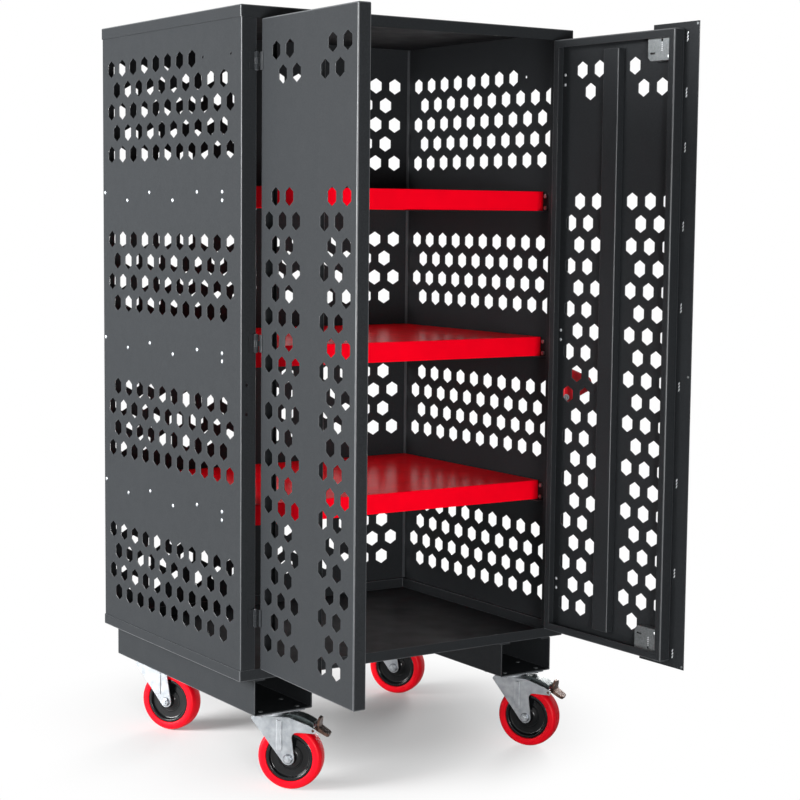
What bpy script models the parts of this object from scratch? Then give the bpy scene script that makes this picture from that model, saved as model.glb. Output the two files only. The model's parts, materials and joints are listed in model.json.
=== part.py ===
"""Mobile mesh cabinet.

A tall sheet-steel cabinet whose doors are perforated by rows of hexagons.
It has three red shelves, two hinged doors with a closing strip and two lock
cases, and stands on four swivel casters under two open channels.
X runs to the right, Y to the back and Z up. The origin is on the floor, under
the middle of the cabinet. The doors stand open.
"""
import math

import bmesh
import bpy
from mathutils import Matrix, Vector

for old in list(bpy.data.objects):
    bpy.data.objects.remove(old, do_unlink=True)

# Cabinet body
WIDTH = 1.000
DEPTH = 0.776
BODY_HEIGHT = 1.626
SHEET = 0.002
SEAT_GAP = 0.0003
LID_LIP = 0.029
BASE_LIP = 0.027
STILE_WIDTH = 0.043
STILE_RETURN = 0.038

# Hexagon pattern of the doors
HEX_FLATS = 0.039
HEX_PITCH = 0.0664
HEX_ROW = 0.0564
HEX_FIRST_ROW = 0.1044
DOOR_BANDS = ((0, 20), (24, 2))
DOOR_COLUMNS = (0, 1, 2, 3, 4, 8, 9, 10, 11)
DOOR_HEX_EDGE = 0.040

# Openings of the side walls: two staggered rows to each band, coarser than the doors'
WALL_BANDS = ((0, 4), (7, 4), (14, 4), (21, 5))
WALL_COLUMNS = 5
WALL_COARSER = 2.2

# Shelves and the angle rails they hang on
SHELF_TOPS = (0.414, 0.809, 1.203)
SHELF_LIP = 0.052
SHELF_SETBACK = 0.108
SHELF_SHEET = 0.0015
RAIL_SETBACK = 0.080
RAIL_SHEET = 0.002
RAIL_LEDGE = 0.025
RAIL_BELOW_TOP = 0.006

# Doors
DOOR_DEPTH = 0.033
DOOR_SHEET = 0.002
DOOR_LIP = 0.020
DOOR_GAP = 0.003
DOOR_MEETING_GAP = 0.004
DOOR_OPEN = math.radians(92.0)
STIFFENER_FROM_LEFT = 0.239
STIFFENER_WIDTH = 0.056
STIFFENER_DEPTH = 0.021
STIFFENER_SHEET = 0.0015
STIFFENER_SHORT = 0.034

# Closing strip on the right door, with a wide tab at each end over its lock
STRIP_SHEET = 0.002
STRIP_OVERHANG = 0.050
STRIP_ON_DOOR = 0.018
STRIP_LAP = 0.013
TAB_ON_DOOR = 0.110
TAB_HEIGHT = 0.098

# Hinges
HINGE_FROM_BASE = 0.157
HINGE_FROM_TOP = 0.131
HINGE_HEIGHT = 0.042
LEAF_WIDTH = 0.0167
LEAF_SHEET = 0.0025
KNUCKLE_RADIUS = 0.0062
KNUCKLES = 3
KNUCKLE_GAP = 0.0003
KNUCKLE_SIDES = 8
PIN_RADIUS = 0.0026
PIN_CLEARANCE = 0.0003
HINGE_SIDE_GAP = 0.0044

# Locks inside the right door
LOCK_WIDTH = 0.100
LOCK_HEIGHT = 0.073
LOCK_DEPTH = 0.020
LOCK_CHAMFER = 0.010
LOCK_EDGE_GAP = 0.003
BOLT_WIDTH = 0.024
BOLT_THICKNESS = 0.010
BOLT_LENGTH = 0.042
BOLT_CLEARANCE = 0.0004

# Push grip on the right stile
GRIP_THICKNESS = 0.022
GRIP_HEIGHT = 0.092
GRIP_REACH = 0.101
GRIP_FOOT = 0.022
GRIP_FROM_EDGE = 0.029
GRIP_CENTRE = 0.687
GRIP_ROUNDING = 0.004

# Channels and casters
CHANNEL_INSET = 0.041
CHANNEL_WIDTH = 0.165
CHANNEL_HEIGHT = 0.0905
CHANNEL_SHEET = 0.003
CHANNEL_FLANGE = 0.030
CASTER_HEIGHT = 0.2035
CASTER_FROM_END = 0.063
CASTER_YAWS = {"front_left": -46, "front_right": -58, "rear_left": -57, "rear_right": -55}
TRAIL = 0.054
PLATE_LENGTH = 0.135
PLATE_BREADTH = 0.110
PLATE_THICKNESS = 0.005
RACE_RADIUS = 0.042
RACE_HEIGHT = 0.0095
RACE_SIDES = 16
KINGPIN_RADIUS = 0.008
KINGPIN_HEAD = 0.014
KINGPIN_HEAD_HEIGHT = 0.007
RUNNING_GAP = 0.0004
TURNED_STEPS = 24
WHEEL_RADIUS = 0.0835
WHEEL_WIDTH = 0.050
TYRE_DEPTH = 0.0230
TYRE_CROWN = 0.0026
TYRE_SHOULDER = 0.0075
HUB_LENGTH = 0.058
HUB_BOSS_RADIUS = 0.018
HUB_RIM = 0.0105
HUB_DISH = 0.010
FORK_CLEARANCE = 0.001
FORK_SHEET = 0.004
FORK_FRONT = 0.042
FORK_END_RADIUS = 0.016
FORK_BACK = 0.052
LEG_BACK = 0.009
ARM_REACH = 0.073
ARM_FILLET = 0.014
ARM_LOW = 0.068
ARM_TIP = 0.009
AXLE_RADIUS = 0.006
AXLE_HEAD_RADIUS = 0.0105
AXLE_HEAD_HEIGHT = 0.006
BRAKE_PLATE_WIDTH = 0.040
BRAKE_PLATE_THICKNESS = 0.004
PEDAL_WIDTH = 0.036
PEDAL_THICKNESS = 0.005
PEDAL_PIN_RADIUS = 0.0035
PEDAL_PIN_EDGE = 0.009
PEDAL_UP = 0.030
PEDAL_OUT = 0.037

# Finishes: colour, roughness, metallic
POWDER_GREY = ((0.055, 0.060, 0.064), 0.55, 0.2)
SHELF_RED = ((0.78, 0.006, 0.020), 0.30, 0.0)
ZINC = ((0.66, 0.69, 0.71), 0.32, 1.0)
LOCK_ZINC = ((0.32, 0.34, 0.35), 0.38, 1.0)
TYRE_RED = ((0.72, 0.008, 0.022), 0.42, 0.0)
HUB_BLACK = ((0.012, 0.013, 0.014), 0.22, 0.0)
BRAKE_DARK = ((0.075, 0.090, 0.090), 0.40, 0.9)
BRAKE_BRONZE = ((0.24, 0.16, 0.12), 0.35, 0.9)
GRIP_RED = ((0.60, 0.010, 0.018), 0.35, 0.0)

# Places that follow from the sizes
FRONT = -DEPTH / 2
BACK = DEPTH / 2
BASE_Z = CASTER_HEIGHT + SEAT_GAP + CHANNEL_HEIGHT + SEAT_GAP
TOP_Z = BASE_Z + BODY_HEIGHT
FLOOR_TOP = BASE_Z + SHEET + SEAT_GAP
LID_UNDER = TOP_Z - SHEET - SEAT_GAP
WALL_OUT = WIDTH / 2 - SHEET - SEAT_GAP
WALL_IN = WALL_OUT - SHEET
STILE_IN = WIDTH / 2 - STILE_WIDTH
WALL_BACK = BACK - SHEET - SEAT_GAP
BACK_PANEL_Y = WALL_BACK
DOOR_LOW = BASE_Z + BASE_LIP + DOOR_GAP
DOOR_HIGH = TOP_Z - LID_LIP - DOOR_GAP
DOOR_HINGE_X = STILE_IN - HINGE_SIDE_GAP
DOOR_FREE_X = DOOR_MEETING_GAP / 2
AXIS_X = STILE_IN + HINGE_SIDE_GAP
AXIS_Y = FRONT - SEAT_GAP - LEAF_SHEET - KNUCKLE_RADIUS + 0.0007
HEX_RADIUS = HEX_FLATS / math.sqrt(3.0)
AXLE_Z = WHEEL_RADIUS * math.cos(math.pi / TURNED_STEPS)
CROWN_TOP = CASTER_HEIGHT - PLATE_THICKNESS - RACE_HEIGHT - RUNNING_GAP
FORK_INNER = HUB_LENGTH + 2 * FORK_CLEARANCE
FORK_OUTER = FORK_INNER + 2 * FORK_SHEET

cabinet = bpy.data.collections.new("Mobile mesh cabinet")
cutters = bpy.data.collections.new("Cutters")
bpy.context.scene.collection.children.link(cabinet)
bpy.context.scene.collection.children.link(cutters)


def finish(obj, look):
    """Give an object its own Principled material."""
    colour, roughness, metallic = look
    material = bpy.data.materials.new(obj.name + "_finish")
    material.use_nodes = True
    shader = material.node_tree.nodes["Principled BSDF"]
    shader.inputs["Base Color"].default_value = (*colour, 1.0)
    shader.inputs["Roughness"].default_value = roughness
    shader.inputs["Metallic"].default_value = metallic
    obj.data.materials.clear()
    obj.data.materials.append(material)


def place(name, mesh, look=None, parent=None, location=(0, 0, 0)):
    """Make a named piece from a mesh and put it in the cabinet."""
    obj = bpy.data.objects.new(name, mesh)
    cabinet.objects.link(obj)
    obj.parent = parent
    obj.location = location
    if look:
        finish(obj, look)
    return obj


def as_cutter(name, mesh, parent=None, location=(0, 0, 0)):
    """Keep a mesh as a hidden tool for a Boolean."""
    obj = bpy.data.objects.new(name, mesh)
    cutters.objects.link(obj)
    obj.parent = parent
    obj.location = location
    obj.hide_render = True
    obj.display_type = "WIRE"
    return obj


def boolean(obj, tool, operation):
    """Cut or join with the exact solver."""
    modifier = obj.modifiers.new(tool.name, "BOOLEAN")
    modifier.operation = operation
    modifier.solver = "EXACT"
    modifier.object = tool
    return obj


def baked(obj):
    """Return the evaluated mesh of an object and remove the object."""
    bpy.context.view_layer.update()
    depsgraph = bpy.context.evaluated_depsgraph_get()
    mesh = bpy.data.meshes.new_from_object(obj.evaluated_get(depsgraph))
    for modifier in obj.modifiers:
        tool = getattr(modifier, "object", None)
        if tool:
            bpy.data.objects.remove(tool, do_unlink=True)
    bpy.data.objects.remove(obj, do_unlink=True)
    return mesh


def box(low, high):
    """A box mesh between two corners."""
    low = Vector(low)
    high = Vector(high)
    size = high - low
    mesh = bpy.data.meshes.new("box")
    bm = bmesh.new()
    matrix = Matrix.Translation((low + high) / 2) @ Matrix.Diagonal((*size, 1.0))
    bmesh.ops.create_cube(bm, size=1.0, matrix=matrix)
    bm.to_mesh(mesh)
    bm.free()
    return mesh


def side_box(side, x_in, x_out, y_low, y_high, z_low, z_high):
    """A box given by distances from the middle plane, on the left (-1) or right (1)."""
    x_a = side * x_in
    x_b = side * x_out
    return box((min(x_a, x_b), y_low, z_low), (max(x_a, x_b), y_high, z_high))


def rod(radius, low, high, sides, centre=(0, 0), axis="Z"):
    """A round bar along an axis from low to high."""
    mesh = bpy.data.meshes.new("rod")
    bm = bmesh.new()
    turn = Matrix.Identity(4)
    if axis == "Y":
        turn = Matrix.Rotation(math.radians(90), 4, "X")
    middle = (low + high) / 2
    if axis == "Y":
        shift = Matrix.Translation((centre[0], middle, centre[1]))
    else:
        shift = Matrix.Translation((centre[0], centre[1], middle))
    flat = Matrix.Rotation(math.pi / sides, 4, "Z")
    bmesh.ops.create_cone(bm, cap_ends=True, segments=sides, radius1=radius, radius2=radius,
                          depth=high - low, matrix=shift @ turn @ flat)
    bm.to_mesh(mesh)
    bm.free()
    return mesh


def outline(points, thickness, matrix):
    """A flat outline of given thickness, made as a filled 2D curve and turned into a mesh."""
    curve = bpy.data.curves.new("outline", "CURVE")
    curve.dimensions = "2D"
    curve.fill_mode = "BOTH"
    curve.extrude = thickness / 2
    spline = curve.splines.new("POLY")
    spline.points.add(len(points) - 1)
    for point, (u, v) in zip(spline.points, points):
        point.co = (u, v, 0.0, 1.0)
    spline.use_cyclic_u = True
    obj = bpy.data.objects.new("outline", curve)
    cutters.objects.link(obj)
    bpy.context.view_layer.update()
    mesh = bpy.data.meshes.new_from_object(obj.evaluated_get(bpy.context.evaluated_depsgraph_get()))
    bpy.data.objects.remove(obj, do_unlink=True)
    bm = bmesh.new()
    bm.from_mesh(mesh)
    bmesh.ops.remove_doubles(bm, verts=bm.verts, dist=0.00001)
    bmesh.ops.dissolve_limit(bm, angle_limit=0.001, verts=bm.verts, edges=bm.edges)
    bmesh.ops.transform(bm, matrix=matrix, verts=bm.verts)
    bmesh.ops.recalc_face_normals(bm, faces=bm.faces)
    bm.to_mesh(mesh)
    bm.free()
    return mesh


def along_z(low, high):
    """Matrix for an outline drawn in X and Y that stands from low to high."""
    return Matrix.Translation((0, 0, (low + high) / 2))


def along_y(low, high):
    """Matrix for an outline drawn in X and Z that runs from low to high along Y."""
    return Matrix.Translation((0, (low + high) / 2, 0)) @ Matrix.Rotation(math.radians(90), 4, "X")


def turned(profile, name):
    """A closed profile of radius and height turned round the Y axis with a Screw."""
    mesh = bpy.data.meshes.new(name)
    bm = bmesh.new()
    verts = [bm.verts.new((radius, 0.0, height)) for radius, height in profile]
    for first, second in zip(verts, verts[1:] + verts[:1]):
        bm.edges.new((first, second))
    bm.to_mesh(mesh)
    bm.free()
    obj = bpy.data.objects.new(name, mesh)
    cutters.objects.link(obj)
    screw = obj.modifiers.new("Turn", "SCREW")
    screw.axis = "Z"
    screw.angle = math.tau
    screw.steps = TURNED_STEPS
    screw.render_steps = TURNED_STEPS
    screw.use_merge_vertices = True
    screw.merge_threshold = 0.00001
    screw.use_normal_calculate = True
    mesh = baked(obj)
    bm = bmesh.new()
    bm.from_mesh(mesh)
    lay_down = Matrix.Rotation(math.radians(90), 4, "X")
    flat_down = Matrix.Rotation(math.pi / 2 + math.pi / TURNED_STEPS, 4, "Z")
    bmesh.ops.transform(bm, matrix=lay_down @ flat_down, verts=bm.verts)
    bmesh.ops.recalc_face_normals(bm, faces=bm.faces)
    bm.to_mesh(mesh)
    bm.free()
    return mesh


def arc(centre, radius, start, end, count):
    """Points along an arc, angles in degrees."""
    points = []
    for i in range(count):
        angle = math.radians(start + (end - start) * i / (count - 1))
        points.append((centre[0] + radius * math.cos(angle), centre[1] + radius * math.sin(angle)))
    return points


def hex_tools(centres, low, high, radius, along_x=False):
    """One mesh of hexagon bars, points up, that run along Y or along X."""
    turn = Matrix.Rotation(math.radians(90), 4, "X")
    if along_x:
        turn = Matrix.Rotation(math.radians(90), 4, "Z") @ turn
    mesh = bpy.data.meshes.new("hexagons")
    bm = bmesh.new()
    middle = (low + high) / 2
    for across, height in centres:
        spot = (middle, across, height) if along_x else (across, middle, height)
        bmesh.ops.create_cone(bm, cap_ends=True, segments=6, radius1=radius, radius2=radius,
                              depth=high - low, matrix=Matrix.Translation(spot) @ turn)
    bm.to_mesh(mesh)
    bm.free()
    return mesh


def mirrored(points, side):
    """Mirror outline points to the left (-1) or keep them on the right (1)."""
    return [(side * u, v) for u, v in points]


def row_height(row):
    return BASE_Z + HEX_FIRST_ROW + row * HEX_ROW


def wall_openings():
    """Centres of a side wall's openings, as distance along Y and height."""
    centres = []
    for first, rows in WALL_BANDS:
        middle = first + (rows - 1) / 2
        for half, columns in ((-1, WALL_COLUMNS - 1), (1, WALL_COLUMNS)):
            height = row_height(middle + half * rows / 4)
            for column in range(columns):
                centres.append(((column - (columns - 1) / 2) * HEX_PITCH * WALL_COARSER, height))
    return centres


# Lid and base: shallow trays that close over the walls
block = box((-WIDTH / 2, FRONT, TOP_Z - LID_LIP), (WIDTH / 2, BACK, TOP_Z))
lid = place("top_tray", block, POWDER_GREY)
inside = box((-WIDTH / 2 + SHEET, FRONT + SHEET, TOP_Z - LID_LIP - SHEET),
             (WIDTH / 2 - SHEET, BACK - SHEET, TOP_Z - SHEET))
boolean(lid, as_cutter("lid_inside", inside), "DIFFERENCE")

block = box((-WIDTH / 2, FRONT, BASE_Z), (WIDTH / 2, BACK, BASE_Z + BASE_LIP))
base = place("base_tray", block, POWDER_GREY)
inside = box((-WIDTH / 2 + SHEET, FRONT + SHEET, BASE_Z + SHEET),
             (WIDTH / 2 - SHEET, BACK - SHEET, BASE_Z + BASE_LIP + SHEET))
boolean(base, as_cutter("base_inside", inside), "DIFFERENCE")

# Side walls: flat sheets between the lid and base lips
wall_front = FRONT + SHEET + SEAT_GAP
for side, name in ((-1, "left"), (1, "right")):
    sheet = side_box(side, WALL_IN, WALL_OUT, wall_front, WALL_BACK, FLOOR_TOP, LID_UNDER)
    wall = place(name + "_side_panel", sheet, POWDER_GREY)
    ends = sorted((side * (WALL_IN - SHEET), side * (WALL_OUT + SHEET)))
    tools = hex_tools(wall_openings(), ends[0], ends[1], HEX_RADIUS * WALL_COARSER, along_x=True)
    boolean(wall, as_cutter(name + "_wall_hexagons", tools), "DIFFERENCE")

# Front stiles: folded channels whose outer flange lies inside the side wall
stile_low = BASE_Z + BASE_LIP + SEAT_GAP
stile_high = TOP_Z - LID_LIP - SEAT_GAP
flange_out = WALL_IN - SEAT_GAP
stile_fold = [
    (WALL_OUT, FRONT),
    (STILE_IN, FRONT),
    (STILE_IN, FRONT + STILE_RETURN),
    (STILE_IN + SHEET, FRONT + STILE_RETURN),
    (STILE_IN + SHEET, FRONT + SHEET),
    (flange_out - SHEET, FRONT + SHEET),
    (flange_out - SHEET, FRONT + STILE_RETURN),
    (flange_out, FRONT + STILE_RETURN),
    (flange_out, FRONT + SHEET),
    (WALL_OUT, FRONT + SHEET),
]
for side, name in ((-1, "left"), (1, "right")):
    mesh = outline(mirrored(stile_fold, side), stile_high - stile_low, along_z(stile_low, stile_high))
    place(name + "_stile", mesh, POWDER_GREY)

# Back panel, inside the rear lips and between the side walls
back_half = WALL_IN - SEAT_GAP
place("back_panel", box((-back_half, BACK_PANEL_Y - SHEET, FLOOR_TOP), (back_half, BACK_PANEL_Y, LID_UNDER)),
      POWDER_GREY)

# Shelves: trays turned down at all four edges, hung on angle rails
shelf_half = WALL_IN - SEAT_GAP - RAIL_SHEET - SEAT_GAP
shelf_back = BACK_PANEL_Y - SHEET - SEAT_GAP
shelf_names = ("lower", "middle", "upper")
for level, shelf_top in zip(shelf_names, SHELF_TOPS):
    top = BASE_Z + shelf_top
    foot = top - SHELF_LIP
    block = box((-shelf_half, FRONT + SHELF_SETBACK, foot), (shelf_half, shelf_back, top))
    shelf = place(level + "_shelf", block, SHELF_RED)
    under = box((-shelf_half + SHELF_SHEET, FRONT + SHELF_SETBACK + SHELF_SHEET, foot - SHELF_SHEET),
                (shelf_half - SHELF_SHEET, shelf_back - SHELF_SHEET, top - SHELF_SHEET))
    boolean(shelf, as_cutter(level + "_shelf_under", under), "DIFFERENCE")
    rail_out = WALL_IN - SEAT_GAP
    ledge_top = foot - SEAT_GAP
    angle = [
        (rail_out, ledge_top - RAIL_SHEET),
        (rail_out, top - RAIL_BELOW_TOP),
        (rail_out - RAIL_SHEET, top - RAIL_BELOW_TOP),
        (rail_out - RAIL_SHEET, ledge_top),
        (rail_out - RAIL_LEDGE, ledge_top),
        (rail_out - RAIL_LEDGE, ledge_top - RAIL_SHEET),
    ]
    rail_front = FRONT + RAIL_SETBACK
    for side, name in ((-1, "left"), (1, "right")):
        mesh = outline(mirrored(angle, side), shelf_back - rail_front, along_y(rail_front, shelf_back))
        place(level + "_shelf_rail_" + name, mesh, POWDER_GREY)

# Channels under the base, open at both ends
channel_out = WIDTH / 2 - CHANNEL_INSET
channel_in = channel_out - CHANNEL_WIDTH
channel_low = CASTER_HEIGHT + SEAT_GAP
channel_high = channel_low + CHANNEL_HEIGHT
channel_fold = [
    (channel_in, channel_low),
    (channel_out, channel_low),
    (channel_out, channel_high),
    (channel_out - CHANNEL_FLANGE, channel_high),
    (channel_out - CHANNEL_FLANGE, channel_high - CHANNEL_SHEET),
    (channel_out - CHANNEL_SHEET, channel_high - CHANNEL_SHEET),
    (channel_out - CHANNEL_SHEET, channel_low + CHANNEL_SHEET),
    (channel_in + CHANNEL_SHEET, channel_low + CHANNEL_SHEET),
    (channel_in + CHANNEL_SHEET, channel_high - CHANNEL_SHEET),
    (channel_in + CHANNEL_FLANGE, channel_high - CHANNEL_SHEET),
    (channel_in + CHANNEL_FLANGE, channel_high),
    (channel_in, channel_high),
]
for side, name in ((-1, "left"), (1, "right")):
    mesh = outline(mirrored(channel_fold, side), DEPTH, along_y(FRONT, BACK))
    place(name + "_caster_channel", mesh, POWDER_GREY)

# Doors, drawn closed about their hinge axes and then swung open
hinge_top = BODY_HEIGHT - HINGE_FROM_TOP
hinge_heights = (HINGE_FROM_BASE, (HINGE_FROM_BASE + hinge_top) / 2, hinge_top)
strip_left = DOOR_FREE_X - STRIP_OVERHANG
lock_left = DOOR_FREE_X + DOOR_SHEET + LOCK_EDGE_GAP
lock_right = lock_left + LOCK_WIDTH
lock_mid = (lock_left + lock_right) / 2
lock_y = FRONT + DOOR_SHEET + SEAT_GAP
bolt_y = lock_y + LOCK_DEPTH / 2
upper_lock_low = DOOR_HIGH - DOOR_SHEET - SEAT_GAP - LOCK_HEIGHT
lower_lock_high = DOOR_LOW + DOOR_SHEET + SEAT_GAP + LOCK_HEIGHT


def behind_lock(x, z):
    """True where a hole of the right door would open onto a lock case."""
    near = lock_left - HEX_FLATS / 2 < x < lock_right + HEX_FLATS / 2
    return near and not lower_lock_high + HEX_RADIUS < z < upper_lock_low - HEX_RADIUS


def door_mesh_at(mesh, axis_x):
    """Move a mesh drawn in the cabinet frame to its hinge axis."""
    mesh.transform(Matrix.Translation((-axis_x, -AXIS_Y, 0)))
    return mesh


for side, name in ((-1, "left"), (1, "right")):
    axis_x = side * AXIS_X
    hinge_axis = bpy.data.objects.new(name + "_door_axis", None)
    cabinet.objects.link(hinge_axis)
    hinge_axis.location = (axis_x, AXIS_Y, 0)
    hinge_axis.rotation_euler = (0, 0, side * DOOR_OPEN)
    door_left = -DOOR_HINGE_X if side < 0 else DOOR_FREE_X
    door_right = -DOOR_FREE_X if side < 0 else DOOR_HINGE_X

    pan = box((door_left, FRONT, DOOR_LOW), (door_right, FRONT + DOOR_DEPTH, DOOR_HIGH))
    door = place(name + "_door", door_mesh_at(pan, axis_x), POWDER_GREY, hinge_axis)
    hollow = box((door_left + DOOR_SHEET, FRONT + DOOR_SHEET, DOOR_LOW + DOOR_SHEET),
                 (door_right - DOOR_SHEET, FRONT + DOOR_DEPTH - DOOR_SHEET, DOOR_HIGH - DOOR_SHEET))
    boolean(door, as_cutter(name + "_door_hollow", door_mesh_at(hollow, axis_x), hinge_axis), "DIFFERENCE")
    mouth = box((door_left + DOOR_LIP, FRONT + DOOR_DEPTH / 2, DOOR_LOW + DOOR_LIP),
                (door_right - DOOR_LIP, FRONT + DOOR_DEPTH + DOOR_SHEET, DOOR_HIGH - DOOR_LIP))
    boolean(door, as_cutter(name + "_door_mouth", door_mesh_at(mouth, axis_x), hinge_axis), "DIFFERENCE")
    holes = []
    hinge_column = DOOR_COLUMNS[0] if side < 0 else DOOR_COLUMNS[-1]
    for first, count in DOOR_BANDS:
        for row in range(first, first + count):
            for column in DOOR_COLUMNS:
                spot = (door_left + DOOR_HEX_EDGE + column * HEX_PITCH / 2, row_height(row))
                in_row = (column + row) % 2 == (0 if side < 0 else 1)
                plain = first > 0 and column == hinge_column or side > 0 and behind_lock(*spot)
                if in_row and not plain:
                    holes.append(spot)
    tools = hex_tools(holes, FRONT - DOOR_SHEET, FRONT + 2 * DOOR_SHEET, HEX_RADIUS)
    boolean(door, as_cutter(name + "_door_hexagons", door_mesh_at(tools, axis_x), hinge_axis), "DIFFERENCE")

    rib_mid = door_left + STIFFENER_FROM_LEFT
    rib_foot = FRONT + DOOR_SHEET + SEAT_GAP
    rib_face = rib_foot + STIFFENER_DEPTH
    rib_out = STIFFENER_WIDTH / 2
    rib_in = rib_out - STIFFENER_SHEET
    rib_fold = [
        (rib_mid - rib_out, rib_foot),
        (rib_mid - rib_out, rib_face),
        (rib_mid + rib_out, rib_face),
        (rib_mid + rib_out, rib_foot),
        (rib_mid + rib_in, rib_foot),
        (rib_mid + rib_in, rib_face - STIFFENER_SHEET),
        (rib_mid - rib_in, rib_face - STIFFENER_SHEET),
        (rib_mid - rib_in, rib_foot),
    ]
    rib_low = DOOR_LOW + STIFFENER_SHORT
    rib_high = DOOR_HIGH - STIFFENER_SHORT
    rib = outline(rib_fold, rib_high - rib_low, along_z(rib_low, rib_high))
    place(name + "_door_stiffener", door_mesh_at(rib, axis_x), POWDER_GREY, hinge_axis)

    if side > 0:
        # Closing strip: covers the meeting gap, with tabs over the locks
        strip_low = BASE_Z + BASE_LIP - STRIP_LAP
        strip_high = TOP_Z - LID_LIP + STRIP_LAP
        strip_on = DOOR_FREE_X + STRIP_ON_DOOR
        tab_on = DOOR_FREE_X + TAB_ON_DOOR
        strip_shape = [
            (strip_left, strip_low),
            (tab_on, strip_low),
            (tab_on, strip_low + TAB_HEIGHT),
            (strip_on, strip_low + TAB_HEIGHT),
            (strip_on, strip_high - TAB_HEIGHT),
            (tab_on, strip_high - TAB_HEIGHT),
            (tab_on, strip_high),
            (strip_left, strip_high),
        ]
        strip = outline(strip_shape, STRIP_SHEET, along_y(FRONT - SEAT_GAP - STRIP_SHEET, FRONT - SEAT_GAP))
        place("closing_strip", door_mesh_at(strip, axis_x), POWDER_GREY, hinge_axis)

        # Lock cases with a bolt each, one shooting up into the lid and one down into the base
        bolt_half = BOLT_WIDTH / 2
        bolt_thick = BOLT_THICKNESS / 2
        for level, up in (("upper", 1), ("lower", -1)):
            edge = DOOR_HIGH if up > 0 else DOOR_LOW
            seat = edge - up * (DOOR_SHEET + SEAT_GAP)
            far = seat - up * LOCK_HEIGHT
            case_shape = [
                (lock_left, seat),
                (lock_right, seat),
                (lock_right, far + up * LOCK_CHAMFER),
                (lock_right - LOCK_CHAMFER, far),
                (lock_left + LOCK_CHAMFER, far),
                (lock_left, far + up * LOCK_CHAMFER),
            ]
            case = outline(case_shape, LOCK_DEPTH, along_y(lock_y, lock_y + LOCK_DEPTH))
            lock = place(level + "_lock_case", door_mesh_at(case, axis_x), LOCK_ZINC, hinge_axis)
            tip = edge
            tail = edge - up * BOLT_LENGTH
            bolt = box((lock_mid - bolt_half, bolt_y - bolt_thick, min(tip, tail)),
                       (lock_mid + bolt_half, bolt_y + bolt_thick, max(tip, tail)))
            place(level + "_lock_bolt", door_mesh_at(bolt, axis_x), ZINC, hinge_axis)
            room = BOLT_CLEARANCE
            deep = tail - up * room
            past = edge + up * DOOR_SHEET
            slot = box((lock_mid - bolt_half - room, bolt_y - bolt_thick - room, min(deep, past)),
                       (lock_mid + bolt_half + room, bolt_y + bolt_thick + room, max(deep, past)))
            slot = door_mesh_at(slot, axis_x)
            boolean(lock, as_cutter(level + "_lock_slot", slot, hinge_axis), "DIFFERENCE")
            boolean(door, as_cutter(level + "_door_slot", slot.copy(), hinge_axis), "DIFFERENCE")

    # Hinges: a leaf on the stile that carries the pin, and a leaf on the door
    step = HINGE_HEIGHT / KNUCKLES
    leaf_y = (FRONT - SEAT_GAP - LEAF_SHEET - AXIS_Y, FRONT - SEAT_GAP - AXIS_Y)
    leaf_start = KNUCKLE_RADIUS - 0.0020
    for kind, direction, first in (("stile", side, 0), ("door", -side, 1)):
        plate = side_box(direction, leaf_start, LEAF_WIDTH, leaf_y[0], leaf_y[1], 0, HINGE_HEIGHT)
        leaf = place("leaf", plate)
        for knuckle in range(first, KNUCKLES, 2):
            low = knuckle * step + KNUCKLE_GAP / 2
            high = (knuckle + 1) * step - KNUCKLE_GAP / 2
            web = side_box(direction, 0, leaf_start + LEAF_SHEET, leaf_y[0], leaf_y[1], low, high)
            boolean(leaf, as_cutter("web", web), "UNION")
            boolean(leaf, as_cutter("knuckle", rod(KNUCKLE_RADIUS, low, high, KNUCKLE_SIDES)), "UNION")
        if kind == "stile":
            pin = rod(PIN_RADIUS, KNUCKLE_GAP / 2, HINGE_HEIGHT - KNUCKLE_GAP / 2, KNUCKLE_SIDES)
            boolean(leaf, as_cutter("pin", pin), "UNION")
        else:
            bore = rod(PIN_RADIUS + PIN_CLEARANCE, -step, HINGE_HEIGHT + step, KNUCKLE_SIDES)
            boolean(leaf, as_cutter("bore", bore), "DIFFERENCE")
        leaf_mesh = baked(leaf)
        for level, height in zip(shelf_names, hinge_heights):
            low = BASE_Z + height - HINGE_HEIGHT / 2
            title = name + "_" + level + "_hinge_" + kind + "_leaf"
            if kind == "stile":
                place(title, leaf_mesh.copy(), POWDER_GREY, None, (axis_x, AXIS_Y, low))
            else:
                place(title, leaf_mesh.copy(), POWDER_GREY, hinge_axis, (0, 0, low))

# Push grip: a solid red grip bolted to the right stile
grip_foot = WIDTH / 2 - GRIP_FROM_EDGE
grip_z = BASE_Z + GRIP_CENTRE
grip_half = GRIP_HEIGHT / 2
grip_nose = GRIP_HEIGHT / 4
grip_tip = grip_foot + GRIP_REACH
grip_shape = [
    (grip_foot, grip_z - grip_half),
    (grip_foot + GRIP_FOOT, grip_z - grip_half),
]
grip_shape += arc((grip_tip - grip_nose, grip_z), grip_nose, -60, 70, 7)
grip_shape += [
    (grip_foot + GRIP_FOOT, grip_z + grip_half),
    (grip_foot, grip_z + grip_half),
]
grip_mesh = outline(grip_shape, GRIP_THICKNESS, along_y(FRONT - SEAT_GAP - GRIP_THICKNESS, FRONT - SEAT_GAP))
grip = place("push_grip", grip_mesh, GRIP_RED)
rounding = grip.modifiers.new("Rounding", "BEVEL")
rounding.width = GRIP_ROUNDING
rounding.segments = 1
rounding.limit_method = "ANGLE"
rounding.angle_limit = math.radians(50)

# Caster pieces, drawn about the swivel axis with the trail along X
crown_low = CROWN_TOP - FORK_SHEET
pedal_x = TRAIL + ARM_REACH - PEDAL_PIN_EDGE
pedal_z = AXLE_Z + ARM_LOW + ARM_TIP - 0.002

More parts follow.
